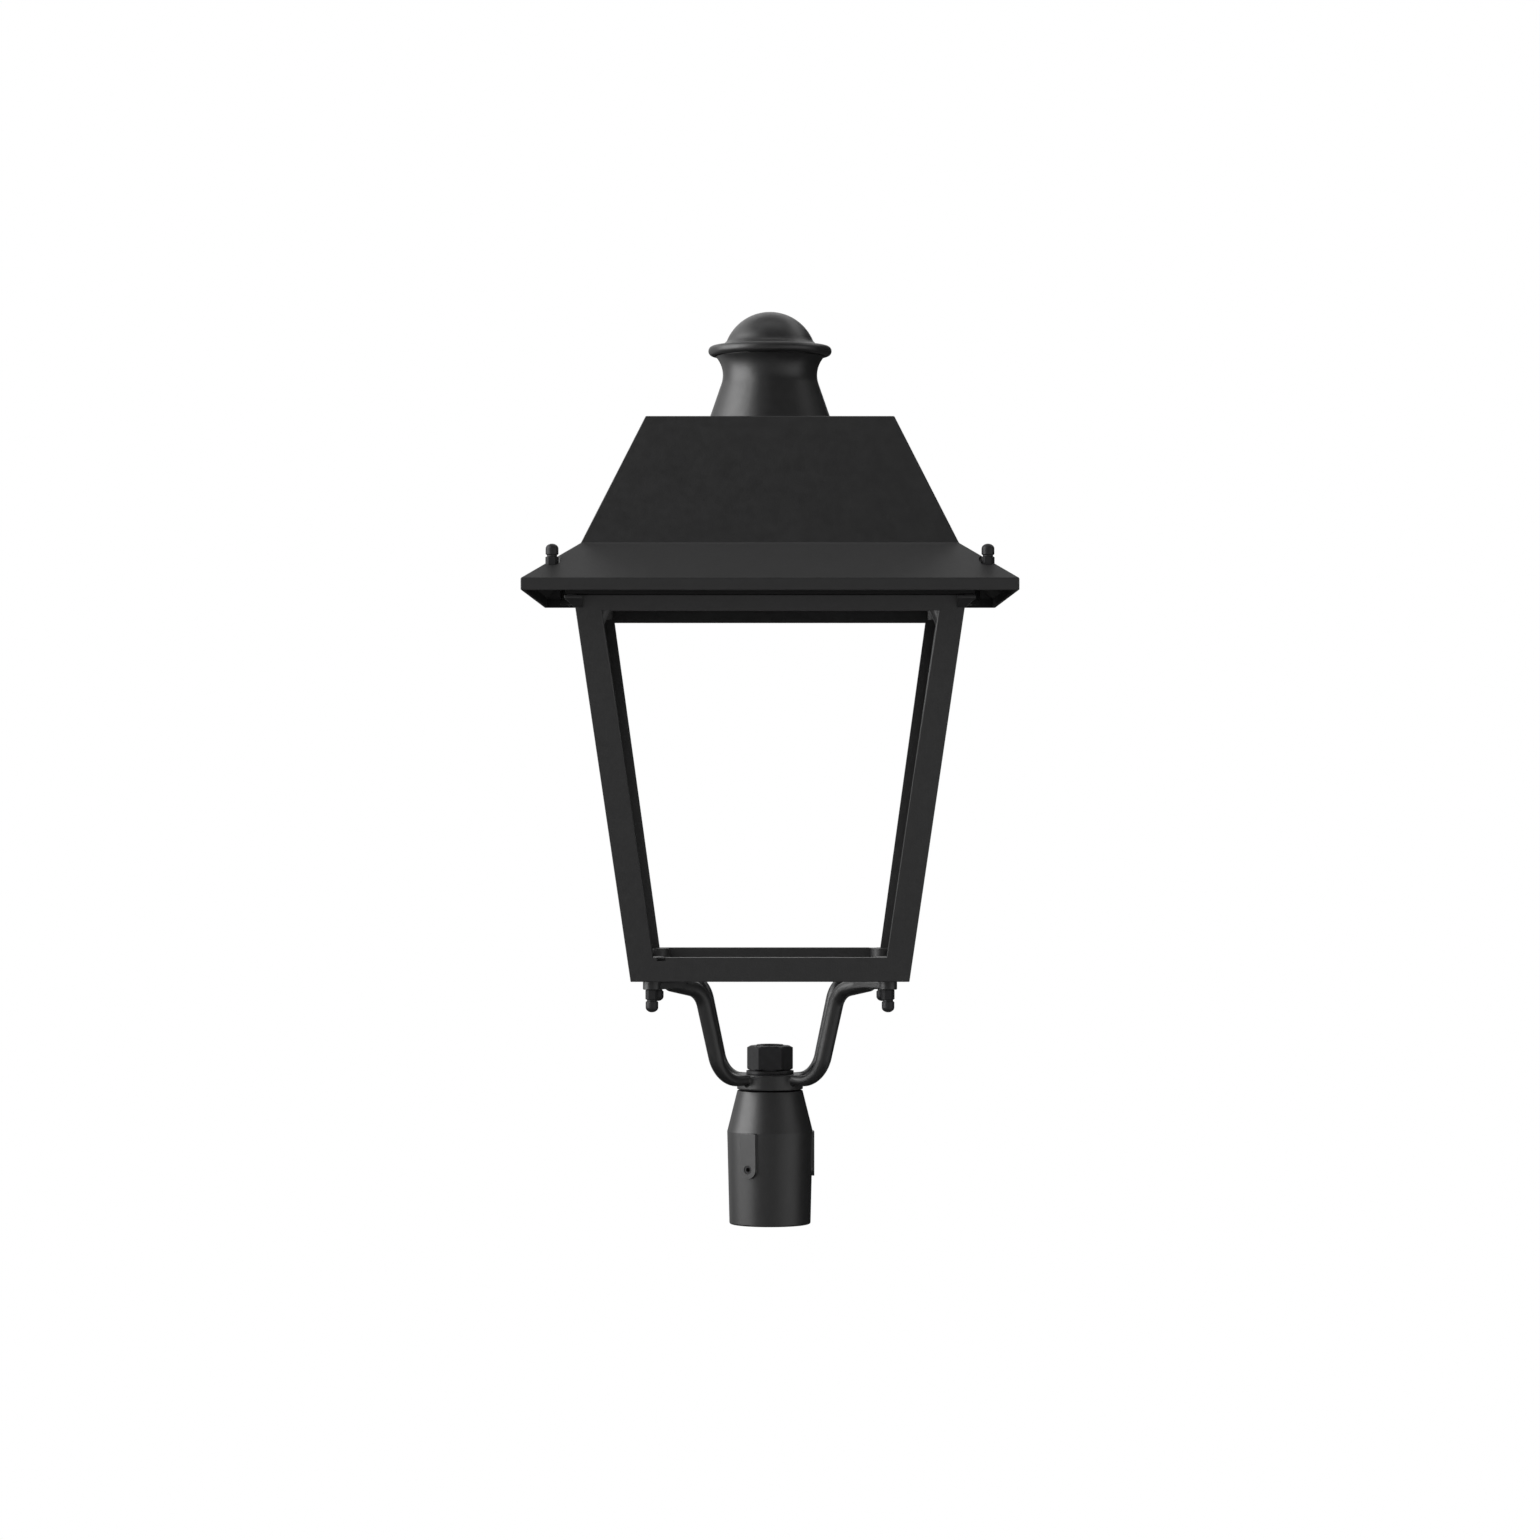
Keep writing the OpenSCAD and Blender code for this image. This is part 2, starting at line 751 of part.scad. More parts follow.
module glass_cover() {
    color("#cfe3e6", 0.4)
    block(glass_half, glass_z, glass_top_z);
}

// Finned housing that clamps the glass and carries the board
module heat_sink() {
    fin_pitch = (2 * sink_half - fin_t) / (fin_count - 1);
    color("#8d8f92")
    difference() {
        union() {
            block(sink_half, tray_top_z, sink_base_z);
            block(sink_flange_half, tray_top_z, tray_top_z + sink_flange_t);
            for (i = [0:fin_count - 1])
                translate([-sink_half + i * fin_pitch, -sink_half, sink_base_z - past])
                    cube([fin_t, 2 * sink_half, fin_h + past]);
        }
        block(glass_half + bolt_gap, tray_top_z - past, glass_top_z);
        block(sink_cavity_half, glass_top_z - past, sink_ceiling_z);
        four_corners(sink_screw_xy)
            upright(m5_r + bolt_gap, tray_top_z - past, tray_top_z + sink_flange_t + past);
        four_corners(lens_leg_xy) upright(m3_r, sink_ceiling_z - past, sink_ceiling_z + lens_screw_hole_h);
        translate([sink_cavity_half - past, grommet_y, lead_z])
            rotate([0, 90, 0]) cylinder(h = sink_half, r = grommet_r);
    }
}

module sink_screws() {
    color("#6a6a6c")
    four_corners(sink_screw_xy)
        screw_down(m5_r, tray_top_z + sink_flange_t, tray_t + sink_flange_t, cap_head_h);
}

module led_board() {
    color("#e8e8e4")
    difference() {
        block(board_half, board_z, sink_ceiling_z);
        four_corners(lens_leg_xy) upright(m3_r + bolt_gap, board_z - past, sink_ceiling_z + past);
    }
}

// Places of the light-emitting diodes, in a square grid
module led_places() {
    for (i = [0:led_count - 1], j = [0:led_count - 1])
        translate([(i - (led_count - 1) / 2) * led_pitch, (j - (led_count - 1) / 2) * led_pitch, 0])
            children();
}

module led_chips() {
    color("#f2d45c")
    led_places()
        translate([-chip_w / 2, -chip_w / 2, board_z - chip_t]) cube([chip_w, chip_w, chip_t]);
}

// Clear plate with one lens under each diode, on four legs
module lens_array() {
    color("#dfe9ec", 0.5)
    difference() {
        union() {
            block(lens_half, lens_plate_z, lens_plate_z + lens_plate_t);
            four_corners(lens_leg_xy) upright(lens_leg_r, lens_plate_z, board_z);
            led_places()
                translate([0, 0, lens_plate_z - lens_h])
                    cylinder(h = lens_h, r1 = lens_tip_r, r2 = lens_root_r, $fn = LENS_SIDES);
        }
        four_corners(lens_leg_xy) upright(m3_r + bolt_gap, lens_plate_z - past, board_z + past);
    }
}

module lens_screws() {
    color("#9a9a9c")
    four_corners(lens_leg_xy)
        screw_up(m3_r, lens_plate_z, sink_ceiling_z - lens_plate_z + lens_screw_grip, m3_r);
}

// Rubber bush that seals the lead into the heat sink
module lead_grommet() {
    color("#151515")
    difference() {
        translate([sink_cavity_half, grommet_y, lead_z])
            rotate([0, 90, 0]) cylinder(h = sink_half - sink_cavity_half, r = grommet_r);
        translate([sink_cavity_half - past, grommet_y, lead_z])
            rotate([0, 90, 0]) cylinder(h = sink_half, r = lead_d / 2);
    }
}

// Case on two feet, in the middle of its base, long side along X
module cased_unit(length, width, height) {
    difference() {
        union() {
            translate([-length / 2, -width / 2, tray_top_z]) cube([length, width, height]);
            translate([-length / 2 - foot_len, -width / 2, tray_top_z])
                cube([length + 2 * foot_len, width, foot_t]);
        }
        for (side = [-1, 1])
            translate([side * (length + foot_len) / 2, 0, 0])
                upright(m4_r + bolt_gap, tray_top_z - past, tray_top_z + foot_t + past);
    }
}

module led_driver() {
    color("#d9d9d6")
    translate([0, driver_y, 0]) cased_unit(driver_len, driver_w, driver_h);
}

module surge_protector() {
    color("#3f6f9f")
    translate([surge_x, gear_y, 0]) cased_unit(surge_len, surge_w, surge_h);
}

// Terminal block with a screw well over each way
module terminal_block() {
    way_pitch = terminal_len / terminal_ways;
    first_x = terminal_x - (terminal_ways - 1) / 2 * way_pitch;
    color("#efece2")
    difference() {
        translate([terminal_x, gear_y, 0]) cased_unit(terminal_len, terminal_w, terminal_h);
        for (i = [0:terminal_ways - 1], side = [-1, 1])
            translate([first_x + i * way_pitch, gear_y + side * terminal_w / 4, 0])
                upright(m4_r, tray_top_z + terminal_h - terminal_well_h, tray_top_z + terminal_h + past);
    }
}

// Places of the screws that hold the three cased units
module gear_screw_places() {
    for (side = [-1, 1]) {
        translate([side * (driver_len + foot_len) / 2, driver_y, 0]) children();
        translate([surge_x + side * (surge_len + foot_len) / 2, gear_y, 0]) children();
        translate([terminal_x + side * (terminal_len + foot_len) / 2, gear_y, 0]) children();
    }
}

module gear_screws() {
    color("#9a9a9c")
    gear_screw_places() screw_down(m4_r, tray_top_z + foot_t, foot_t + tray_t, pan_head_h);
}

// Inlet for the supply cable, with its thread down through the gear tray
module cable_gland() {
    hex_top_z = tray_top_z + gland_hex_h;
    color("#1d1d1e")
    translate([gland_x, 0, 0])
        difference() {
            union() {
                upright(gland_r, tray_top_z - gland_thread_h, tray_top_z + past);
                translate([0, 0, tray_top_z]) hexagon(gland_hex_af, gland_hex_h);
                translate([0, 0, hex_top_z])
                    rotate_extrude()
                        polygon(concat(
                            [[0, 0], [gland_dome_r, 0]],
                            profile_arc(gland_dome_r - gland_round_r, gland_dome_h - gland_round_r,
                                        gland_round_r, 0, 90),
                            [[0, gland_dome_h]]
                        ));
            }
            upright(gland_way_r, tray_top_z - gland_thread_h - past, hex_top_z + gland_dome_h + past);
        }
}

module gland_nut() {
    color("#1d1d1e")
    translate([gland_x, 0, tray_z - gland_nut_h])
        difference() {
            hexagon(gland_hex_af, gland_nut_h);
            translate([0, 0, -past]) cylinder(h = gland_nut_h + 2 * past, r = gland_r + run_gap);
        }
}

// Lead from the driver round the heat sink and in through its side
module dc_lead() {
    route = [
        [driver_len / 2, driver_y, lead_z],
        [lead_side_x, driver_y, lead_z],
        [lead_side_x, grommet_y, lead_z],
        [sink_cavity_half, grommet_y, lead_z]
    ];
    path = rounded(route, [lead_bend_r, lead_bend_r]);
    color("#2b2b2b")
    rod(path, even(path, lead_d / 2), [0, 0, 1], LEAD_SIDES);
}

// Lead from the terminal block to the driver, and the short one to the surge protector
module mains_leads() {
    route = [
        [terminal_x - terminal_len / 2, gear_y, lead_z],
        [-lead_side_x, gear_y, lead_z],
        [-lead_side_x, driver_y, lead_z],
        [-driver_len / 2, driver_y, lead_z]
    ];
    path = rounded(route, [lead_bend_r, lead_bend_r]);
    short_x = terminal_x + terminal_len / 2;
    color("#2b2b2b") {
        rod(path, even(path, lead_d / 2), [0, 0, 1], LEAD_SIDES);
        translate([short_x, gear_y, lead_z])
            rotate([0, 90, 0]) cylinder(h = surge_x - surge_len / 2 - short_x, r = lead_d / 2);
    }
}

// Hollow roof: upright eave edge, flare, steep sides and flat top with the hole to the cap's screw
module roof_cover() {
    color("#292929")
    difference() {
        union() {
            difference() {
                roof_outside();
                roof_inside();
            }
            intersection() {
                four_corners(roof_stud_xy) upright(roof_boss_r, ear_top_z + face_gap, break_z);
                roof_outside();
            }
        }
        four_corners(roof_stud_xy) {
            upright(m6_r + bolt_gap, eave_z - past, nut_seat_z + past);
            upright(nut_well_r, nut_seat_z, break_z);
        }
        neck_screw_places() upright(m5_r + bolt_gap, roof_top_z - roof_t - past, roof_top_z + past);
        upright(roof_hole_r, roof_top_z - roof_t - past, roof_top_z + past);
    }
}

module roof_outside() {
    four_sided([
        [eave_half, eave_z], [eave_half, flare_z],
        [break_half, break_z], [roof_top_half, roof_top_z]
    ]);
}

module roof_inside() {
    inner_half = eave_half - roof_t;
    inner_flare_z = flare_z - flare_drop + roof_t * flare_rate;
    steep_ceiling_z = roof_top_z - roof_t;
    inner_top_half = inner_break_half - (steep_ceiling_z - inner_break_z) * steep_rate;
    four_sided([
        [inner_half, eave_z - past], [inner_half, inner_flare_z],
        [inner_break_half, inner_break_z], [inner_top_half, steep_ceiling_z]
    ]);
}

module roof_nuts() {
    color("#343436")
    four_corners(roof_stud_xy) translate([0, 0, nut_seat_z]) acorn_nut();
}

// Places of the screws that hold the chimney on the roof
module neck_screw_places() {
    for (a = [90, 210, 330])
        rotate([0, 0, a])
            translate([neck_screw_reach, 0, 0]) children();
}

// Chimney: a cone that draws in to a waist and curves out to a lip
module chimney_neck() {
    color("#2a2a2b")
    difference() {
        union() {
            difference() {
                chimney_body(0, roof_top_z, chimney_top_z);
                chimney_body(chimney_t, roof_top_z - past, chimney_top_z + past);
            }
            difference() {
                chimney_body(chimney_t / 2, roof_top_z, roof_top_z + chimney_foot_t);
                upright(chimney_foot_in_r, roof_top_z - past, roof_top_z + chimney_foot_t + past);
            }
            upright(chimney_waist_r - chimney_t / 2, web_z, web_z + web_t);
            neck_screw_places() upright(neck_boss_r, roof_top_z, roof_top_z + neck_boss_h);
        }
        neck_screw_places() upright(m5_r, roof_top_z - past, roof_top_z + neck_screw_grip + past);
        upright(m5_r + bolt_gap, web_z - past, web_z + web_t + past);
    }
}

// Solid of the chimney, drawn in by inset, between two heights
module chimney_body(inset, z_low, z_high) {
    curve_r = chimney_curve_r + inset;
    arc = profile_arc(curve_centre_r, curve_mid_z, curve_r, 180 + lean_angle, 180 - lip_angle);
    foot = [chimney_foot_r - inset, roof_top_z];
    low = [foot[0] + (z_low - roof_top_z) * (foot[0] - arc[0][0]) / (foot[1] - arc[0][1]), z_low];
    lip = arc[ARC_STEPS][0];
    over_z = chimney_top_z + past;
    intersection() {
        rotate_extrude()
            polygon(concat([[0, z_low], low], arc, [[lip, over_z], [0, over_z]]));
        upright(2 * chimney_foot_r, z_low, z_high);
    }
}

module neck_screws() {
    color("#6a6a6c")
    neck_screw_places() screw_up(m5_r, roof_top_z - roof_t, roof_t + neck_screw_grip, pan_head_h);
}

// Domed cap with a rolled brim, a locating foot and a boss for its screw
module chimney_cap() {
    brim_round_r = brim_t / 2;
    color("#2a2a2b")
    difference() {
        union() {
            rotate_extrude()
                polygon(concat(
                    [[0, brim_z]],
                    profile_arc(brim_r - brim_round_r, brim_z + brim_round_r, brim_round_r, -90, 60),
                    profile_arc(0, dome_z + dome_h - dome_r, dome_r, 90 - dome_angle, 90)
                ));
            difference() {
                upright(cap_foot_r, chimney_top_z, brim_z + past);
                upright(cap_foot_r - cap_foot_w, chimney_top_z - past, brim_z + past);
            }
        }
        difference() {
            rotate_extrude()
                polygon(concat(
                    [[0, brim_z - past], [dome_foot_r - cap_t, brim_z - past]],
                    profile_arc(0, dome_z + dome_h - dome_r, dome_r - cap_t, 90 - dome_angle, 90)
                ));
            upright(cap_boss_r, brim_z - 2 * past, dome_z + dome_h);
        }
        upright(m5_r, brim_z - past, web_z + web_t + cap_screw_hole_h);
    }
    color("#2a2a2b")
    difference() {
        upright(cap_boss_r, web_z + web_t, brim_z + past);
        upright(m5_r, web_z + web_t - past, brim_z + 2 * past);
    }
}

module cap_screw() {
    color("#6a6a6c") screw_up(m5_r, web_z, web_t + cap_screw_grip, pan_head_h);
}

post_socket();
cable_nipple();
collar_washer();
lock_nut();
clamp_screw_right();
clamp_screw_back();
clamp_screw_front();
spider_fork();
fork_studs();
fork_nuts();
lantern_frame();
tray_gasket();
gear_tray();
tray_screws();
roof_studs();
glass_gasket();
glass_cover();
heat_sink();
sink_screws();
led_board();
led_chips();
lens_array();
lens_screws();
lead_grommet();
led_driver();
surge_protector();
terminal_block();
gear_screws();
cable_gland();
gland_nut();
dc_lead();
mains_leads();
roof_cover();
roof_nuts();
chimney_neck();
neck_screws();
chimney_cap();
cap_screw();
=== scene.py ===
import math

import bmesh
import bpy
from mathutils import Matrix, Vector


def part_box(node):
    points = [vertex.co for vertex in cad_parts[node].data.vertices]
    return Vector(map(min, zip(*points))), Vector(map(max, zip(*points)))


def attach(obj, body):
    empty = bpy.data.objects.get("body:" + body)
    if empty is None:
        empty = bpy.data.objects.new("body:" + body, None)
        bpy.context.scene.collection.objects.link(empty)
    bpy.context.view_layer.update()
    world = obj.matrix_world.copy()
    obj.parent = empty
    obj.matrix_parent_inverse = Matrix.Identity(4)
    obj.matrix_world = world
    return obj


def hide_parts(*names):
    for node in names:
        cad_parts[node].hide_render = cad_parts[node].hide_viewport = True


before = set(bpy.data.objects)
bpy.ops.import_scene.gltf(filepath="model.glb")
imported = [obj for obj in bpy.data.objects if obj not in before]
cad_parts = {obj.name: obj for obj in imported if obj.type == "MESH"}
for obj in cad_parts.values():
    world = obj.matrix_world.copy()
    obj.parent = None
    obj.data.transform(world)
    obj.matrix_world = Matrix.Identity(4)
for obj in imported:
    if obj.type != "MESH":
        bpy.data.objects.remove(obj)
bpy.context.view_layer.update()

# ---- Post socket ----
# Cast aluminium sleeve that slips over the post top, powder coated black. It is turned on the outside and has
# three pads with a grub screw in each.
mm = 0.001
cast_edge = 0.5 * mm


class Shade:
    """A number or colour that varies over a surface, with plain arithmetic on it."""

    def __init__(self, finish, socket):
        self.finish = finish
        self.socket = socket

    def maths(self, operation, first, second):
        return self.finish.node("ShaderNodeMath", {"operation": operation}, {0: first, 1: second})

    def __add__(self, other):
        return self.maths("ADD", self, other)

    __radd__ = __add__

    def __sub__(self, other):
        return self.maths("SUBTRACT", self, other)

    def __rsub__(self, other):
        return self.maths("SUBTRACT", other, self)

    def __mul__(self, other):
        return self.maths("MULTIPLY", self, other)

    __rmul__ = __mul__


class Finish:
    """The material of one kind of surface, with the nodes that vary it."""

    def __init__(self, name, fixed):
        self.material = bpy.data.materials.new(name)
        self.material.use_nodes = True
        self.tree = self.material.node_tree
        self.surface = self.tree.nodes["Principled BSDF"]
        for socket, value in fixed.items():
            self.surface.inputs[socket].default_value = value
        self.place = self.node("ShaderNodeTexCoord", outlet="Object")

    def node(self, kind, settings=None, inlets=None, outlet=0):
        """Makes a node: its settings first, then the values or links of its sockets."""
        made = self.tree.nodes.new(kind)
        for key, value in (settings or {}).items():
            setattr(made, key, value)
        for key, value in (inlets or {}).items():
            if isinstance(value, Shade):
                self.tree.links.new(value.socket, made.inputs[key])
            else:
                made.inputs[key].default_value = value
        return Shade(self, made.outputs[outlet])

    def grain(self, size, detail=2.0):
        """Noise from 0 to 1 whose lumps are about size wide."""
        return self.node("ShaderNodeTexNoise", inlets={"Vector": self.place, "Scale": 1 / size, "Detail": detail})

    def between(self, amount, first, second):
        """Colour between two colours, by amount."""
        return self.node("ShaderNodeMix", {"data_type": "RGBA"}, {0: amount, 6: (*first, 1), 7: (*second, 1)}, 2)

    def steep(self, value, low, high):
        """Value spread out so that low becomes 0 and high becomes 1, and held there beyond them."""
        return self.node("ShaderNodeMapRange", inlets={0: value, 1: low, 2: high})

    def feed(self, socket, value):
        """Links a varying value to the surface."""
        self.tree.links.new(value.socket, self.surface.inputs[socket])

    def relief(self, height, depth):
        """Bump of that depth in metres where height goes from 0 to 1."""
        bump = self.node("ShaderNodeBump", inlets={"Height": height, "Distance": depth}, outlet="Normal")
        self.feed("Normal", bump)


coat_index = 1.8


def powder_coat(name, dark, pale, rough, lump, depth):
    """Black powder coat: orange peel of that lump size and depth, over a colour mottled from dark to pale. Its
    roughness goes up from rough."""
    cloud_share, mottle_share, fleck_share = 0.3, 0.4, 0.5
    gloss_swing, mottle_swing = 0.1, 0.04
    coat = Finish(name, {"IOR": coat_index})
    cloud = coat.grain(size=45 * mm)
    mottle = coat.steep(coat.grain(size=4 * lump, detail=3.0), low=0.35, high=0.65)
    fleck = coat.steep(coat.grain(size=0.55 * lump, detail=1.0), low=0.62, high=0.74)
    paleness = cloud_share * cloud + mottle_share * mottle + fleck_share * fleck
    coat.feed("Base Color", coat.between(paleness, dark, pale))
    coat.feed("Roughness", gloss_swing * coat.grain(size=18 * mm) + mottle_swing * mottle + rough)
    coat.relief(coat.grain(size=lump, detail=3.0), depth)
    return coat.material


smooth_coat = powder_coat("smooth black powder coat", dark=(0.0075, 0.0075, 0.008), pale=(0.0115, 0.0115, 0.012),
                          rough=0.33, lump=1.6 * mm, depth=0.05 * mm)


weld_distance = 0.002 * mm
flat_within = math.radians(0.3)
clearly_square = 40


def welded(node):
    """A CAD node's mesh with its corners welded."""
    shape = bmesh.new()
    shape.from_mesh(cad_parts[node].data)
    bmesh.ops.remove_doubles(shape, verts=shape.verts, dist=weld_distance)
    return shape


def make_flats_whole(shape):
    """Joins the triangles of each flat face."""
    bmesh.ops.dissolve_limit(shape, angle_limit=flat_within, verts=shape.verts, edges=shape.edges)
    return shape


def ease(shape, edges, width, steps=2):
    """Rounds edges to that width."""
    bmesh.ops.bevel(shape, geom=edges, offset=width, offset_type="OFFSET", segments=steps, profile=0.5,
                    affect="EDGES", clamp_overlap=False)


def sharp_edges(shape, least, corner=clearly_square):
    """The edges that turn by more than corner degrees and are longer than least."""
    return [e for e in shape.edges
            if e.is_manifold and e.calc_length() > least and e.calc_face_angle(0) > math.radians(corner)]


def eased_solid(node, least, width, corner=clearly_square, steps=2):
    """A CAD node's mesh with its sharp edges rounded."""
    shape = make_flats_whole(welded(node))
    ease(shape, sharp_edges(shape, least, corner), width, steps)
    return shape


smooth_within = math.radians(32)


def piece(name, shape, material, body, slot, *replaced):
    """Makes a shown piece of a mesh: smooth over its curves, riding on its body, in place of the CAD nodes."""
    mesh = bpy.data.meshes.new(name)
    bmesh.ops.recalc_face_normals(shape, faces=shape.faces)
    shape.to_mesh(mesh)
    shape.free()
    for face in mesh.polygons:
        face.use_smooth = True
    mesh.set_sharp_from_angle(angle=smooth_within)
    mesh.materials.append(material)
    made = bpy.data.objects.new(name, mesh)
    bpy.context.scene.collection.objects.link(made)
    even = made.modifiers.new("even shading", "WEIGHTED_NORMAL")
    even.keep_sharp = True
    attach(made, body)
    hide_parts(*replaced)
    return made


def shade_as_turned(made, widest, least_level=0.3, off_axis=math.radians(6)):
    """Shades a piece's turned faces as truly round, in place of the even shading. They are those that face outwards
    and span no more than widest."""
    mesh = made.data
    made.modifiers.clear()
    normals = [Vector(corner.vector) for corner in mesh.corner_normals]
    for face in mesh.polygons:
        level = face.normal.to_2d()
        centre = face.center.to_2d()
        if level.length < least_level or level.angle(centre) > off_axis:
            continue
        if max(mesh.vertices[i].co.to_2d().angle(centre) for i in face.vertices) > widest:
            continue
        for corner in face.loop_indices:
            out = mesh.vertices[mesh.loops[corner].vertex_index].co.to_2d().normalized() * level.length
            normals[corner] = Vector((out.x, out.y, face.normal.z)).normalized()
    mesh.normals_split_custom_set(normals)


socket_cast = piece("post_socket_cast", eased_solid("post_socket", least=1.2 * mm, width=cast_edge), smooth_coat,
                    "post_mount", "black_coat", "post_socket")
shade_as_turned(socket_cast, widest=math.radians(11))

# ---- Clamp screws ----
# Three M8 grub screws of steel in black zinc, with a hexagon socket in their end. One is turned into each pad, and
# together they hold the socket on the post top.


def plain_finish(name, fixed, dark, pale, patch, rough, swing, speck, pit=None, depth=None, patch_detail=2.0,
                 pit_detail=2.0):
    """A material with patches from dark to pale, specks whose roughness goes from rough up by swing, and pits."""
    finish = Finish(name, fixed)
    finish.feed("Base Color", finish.between(finish.grain(patch, patch_detail), dark, pale))
    finish.feed("Roughness", swing * finish.grain(speck) + rough)
    if pit:
        finish.relief(finish.grain(pit, pit_detail), depth)
    return finish.material


black_zinc = plain_finish("black zinc on steel", {"Metallic": 0.55, "Specular IOR Level": 0.4},
                          dark=(0.024, 0.024, 0.025), pale=(0.044, 0.044, 0.046), patch=6 * mm,
                          rough=0.33, swing=0.14, speck=1.5 * mm, pit=0.7 * mm, depth=0.015 * mm)


def finish_nodes(material, *nodes):
    """Gives CAD nodes a better material."""
    for node in nodes:
        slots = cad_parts[node].data.materials
        slots.clear()
        slots.append(material)


finish_nodes(black_zinc, "clamp_screw_right", "clamp_screw_back", "clamp_screw_front")

# ---- Swivel joint ----
# Hollow threaded nipple, washer and hexagon lock nut: turned steel in black zinc. The nipple is screwed into the
# post socket, and the nut holds the fork's collar down on it. The supply cable runs through.
ring_points = 72
lock_flats = 36 * mm
lock_bore_r = 12.05 * mm


def corner_radius(flats):
    """Radius of a hexagon's corners, from its width across the flats."""
    return flats / 2 / math.cos(math.pi / 6)


def nut_ring(flats, round_r, z):
    """Points round a hexagon of that width across its flats, cut back to a circle of round_r."""
    ring = []
    for i in range(ring_points):
        turn = 2 * math.pi * i / ring_points
        flat = flats / 2 / math.cos(turn % (math.pi / 3) - math.pi / 6)
        r = min(flat, round_r)
        ring.append(Vector((r * math.cos(turn), r * math.sin(turn), z)))
    return ring


def loft(rings, closed=False):
    """Skin over rings of as many points each; closed joins the last ring to the first."""
    shape = bmesh.new()
    rows = [[shape.verts.new(p) for p in ring] for ring in rings]
    pairs = list(zip(rows, rows[1:])) + ([(rows[-1], rows[0])] if closed else [])
    for low, high in pairs:
        for i in range(len(low)):
            j = (i + 1) % len(low)
            shape.faces.new((low[i], low[j], high[j], high[i]))
    if not closed:
        shape.faces.new(rows[0][::-1])
        shape.faces.new(rows[-1])
    return shape


lock_low, lock_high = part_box("lock_nut")
thread_chamfer = 1.0 * mm
lock_corner_r = corner_radius(lock_flats)
# From the bore to the middle of the nut: each ring's radius, and how far it lies below the end face.
lock_end = [(lock_bore_r, thread_chamfer), (lock_bore_r + thread_chamfer, 0), (lock_flats / 2 - 0.4 * mm, 0),
            (lock_flats / 2 + 0.3 * mm, 0.35 * mm), (lock_corner_r - 0.15 * mm, 1.5 * mm), (lock_corner_r, 2.0 * mm)]
rings = [nut_ring(lock_flats, r, lock_high.z - down) for r, down in lock_end]
rings += [nut_ring(lock_flats, r, lock_low.z + up) for r, up in reversed(lock_end)]
piece("lock_nut_forged", loft(rings, closed=True), black_zinc, "post_mount", "black_zinc", "lock_nut")
finish_nodes(black_zinc, "cable_nipple")
piece("collar_washer_turned", eased_solid("collar_washer", least=0.3 * mm, width=0.3 * mm, steps=1), black_zinc,
      "post_mount", "black_zinc", "collar_washer")

# ---- Fork ----
# One casting: a collar and four arms of round bar, each bent twice and flattened to an eye under a corner of the
# lantern. It is sand cast, fettled smooth and powder coated as the post socket is.
collar_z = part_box("spider_fork")[0].z
collar_top_z = collar_z + 14.9 * mm
collar_bore_r = 12.4 * mm
collar_r = 29.9 * mm
collar_step_r = 26 * mm
collar_step_z = collar_z + 0.9 * mm
plate_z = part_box("lantern_frame")[0].z
eye_xy = 104.5 * mm
eye_reach = eye_xy * math.sqrt(2)
eye_r = 8 * mm
eye_t = 7.5 * mm
neck_l = 35.8 * mm
neck_w = 14 * mm
rod_z = collar_top_z - 4.8 * mm
# The corners of an arm's path: how far out, and how high.
arm_path = [(23 * mm, rod_z), (61.7 * mm, rod_z), (eye_reach - 61.1 * mm, plate_z - 10.5 * mm),
            (eye_reach - 21.8 * mm, plate_z - 2.8 * mm)]
bend_radii = [30 * mm, 22 * mm]
rod_r_in_mm = 4.7
thicker_by_in_mm = 2.4
taper_points = 16


def bent(corners, radii, steps=14):
    """Points along a path of corners, each rounded to its radius."""
    line = [corners[0]]
    for before, corner, after, radius in zip(corners, corners[1:], corners[2:], radii):
        back = (before - corner).normalized()
        on = (after - corner).normalized()
        half = back.angle(on) / 2
        centre = corner + (back + on).normalized() * (radius / math.sin(half))
        first = (corner + back * (radius / math.tan(half)) - centre).normalized()
        last = (corner + on * (radius / math.tan(half)) - centre).normalized()
        for i in range(steps + 1):
            line.append(centre + radius * first.slerp(last, i / steps))
    return line + [corners[-1]]


def swept(line, radii, normal, sides=28):
    """Round bar along a line in the plane square to normal, with a radius at each point."""
    rings = []
    for i, (point, radius) in enumerate(zip(line, radii)):
        on = (line[min(i + 1, len(line) - 1)] - line[max(i - 1, 0)]).normalized()
        side = on.cross(normal)
        rings.append([point + radius * (math.cos(a) * normal + math.sin(a) * side)
                      for a in (2 * math.pi * k / sides for k in range(sides))])
    return loft(rings)


def circle(radius, z, points=64, centre=(0, 0)):
    """Points round a level circle."""
    return [Vector((centre[0] + radius * math.cos(a), centre[1] + radius * math.sin(a), z))
            for a in (2 * math.pi * k / points for k in range(points))]


def join(shape, other):
    """Adds the mesh of other to shape."""
    mesh = bpy.data.meshes.new("part")
    other.to_mesh(mesh)
    other.free()
    shape.from_mesh(mesh)
    bpy.data.meshes.remove(mesh)


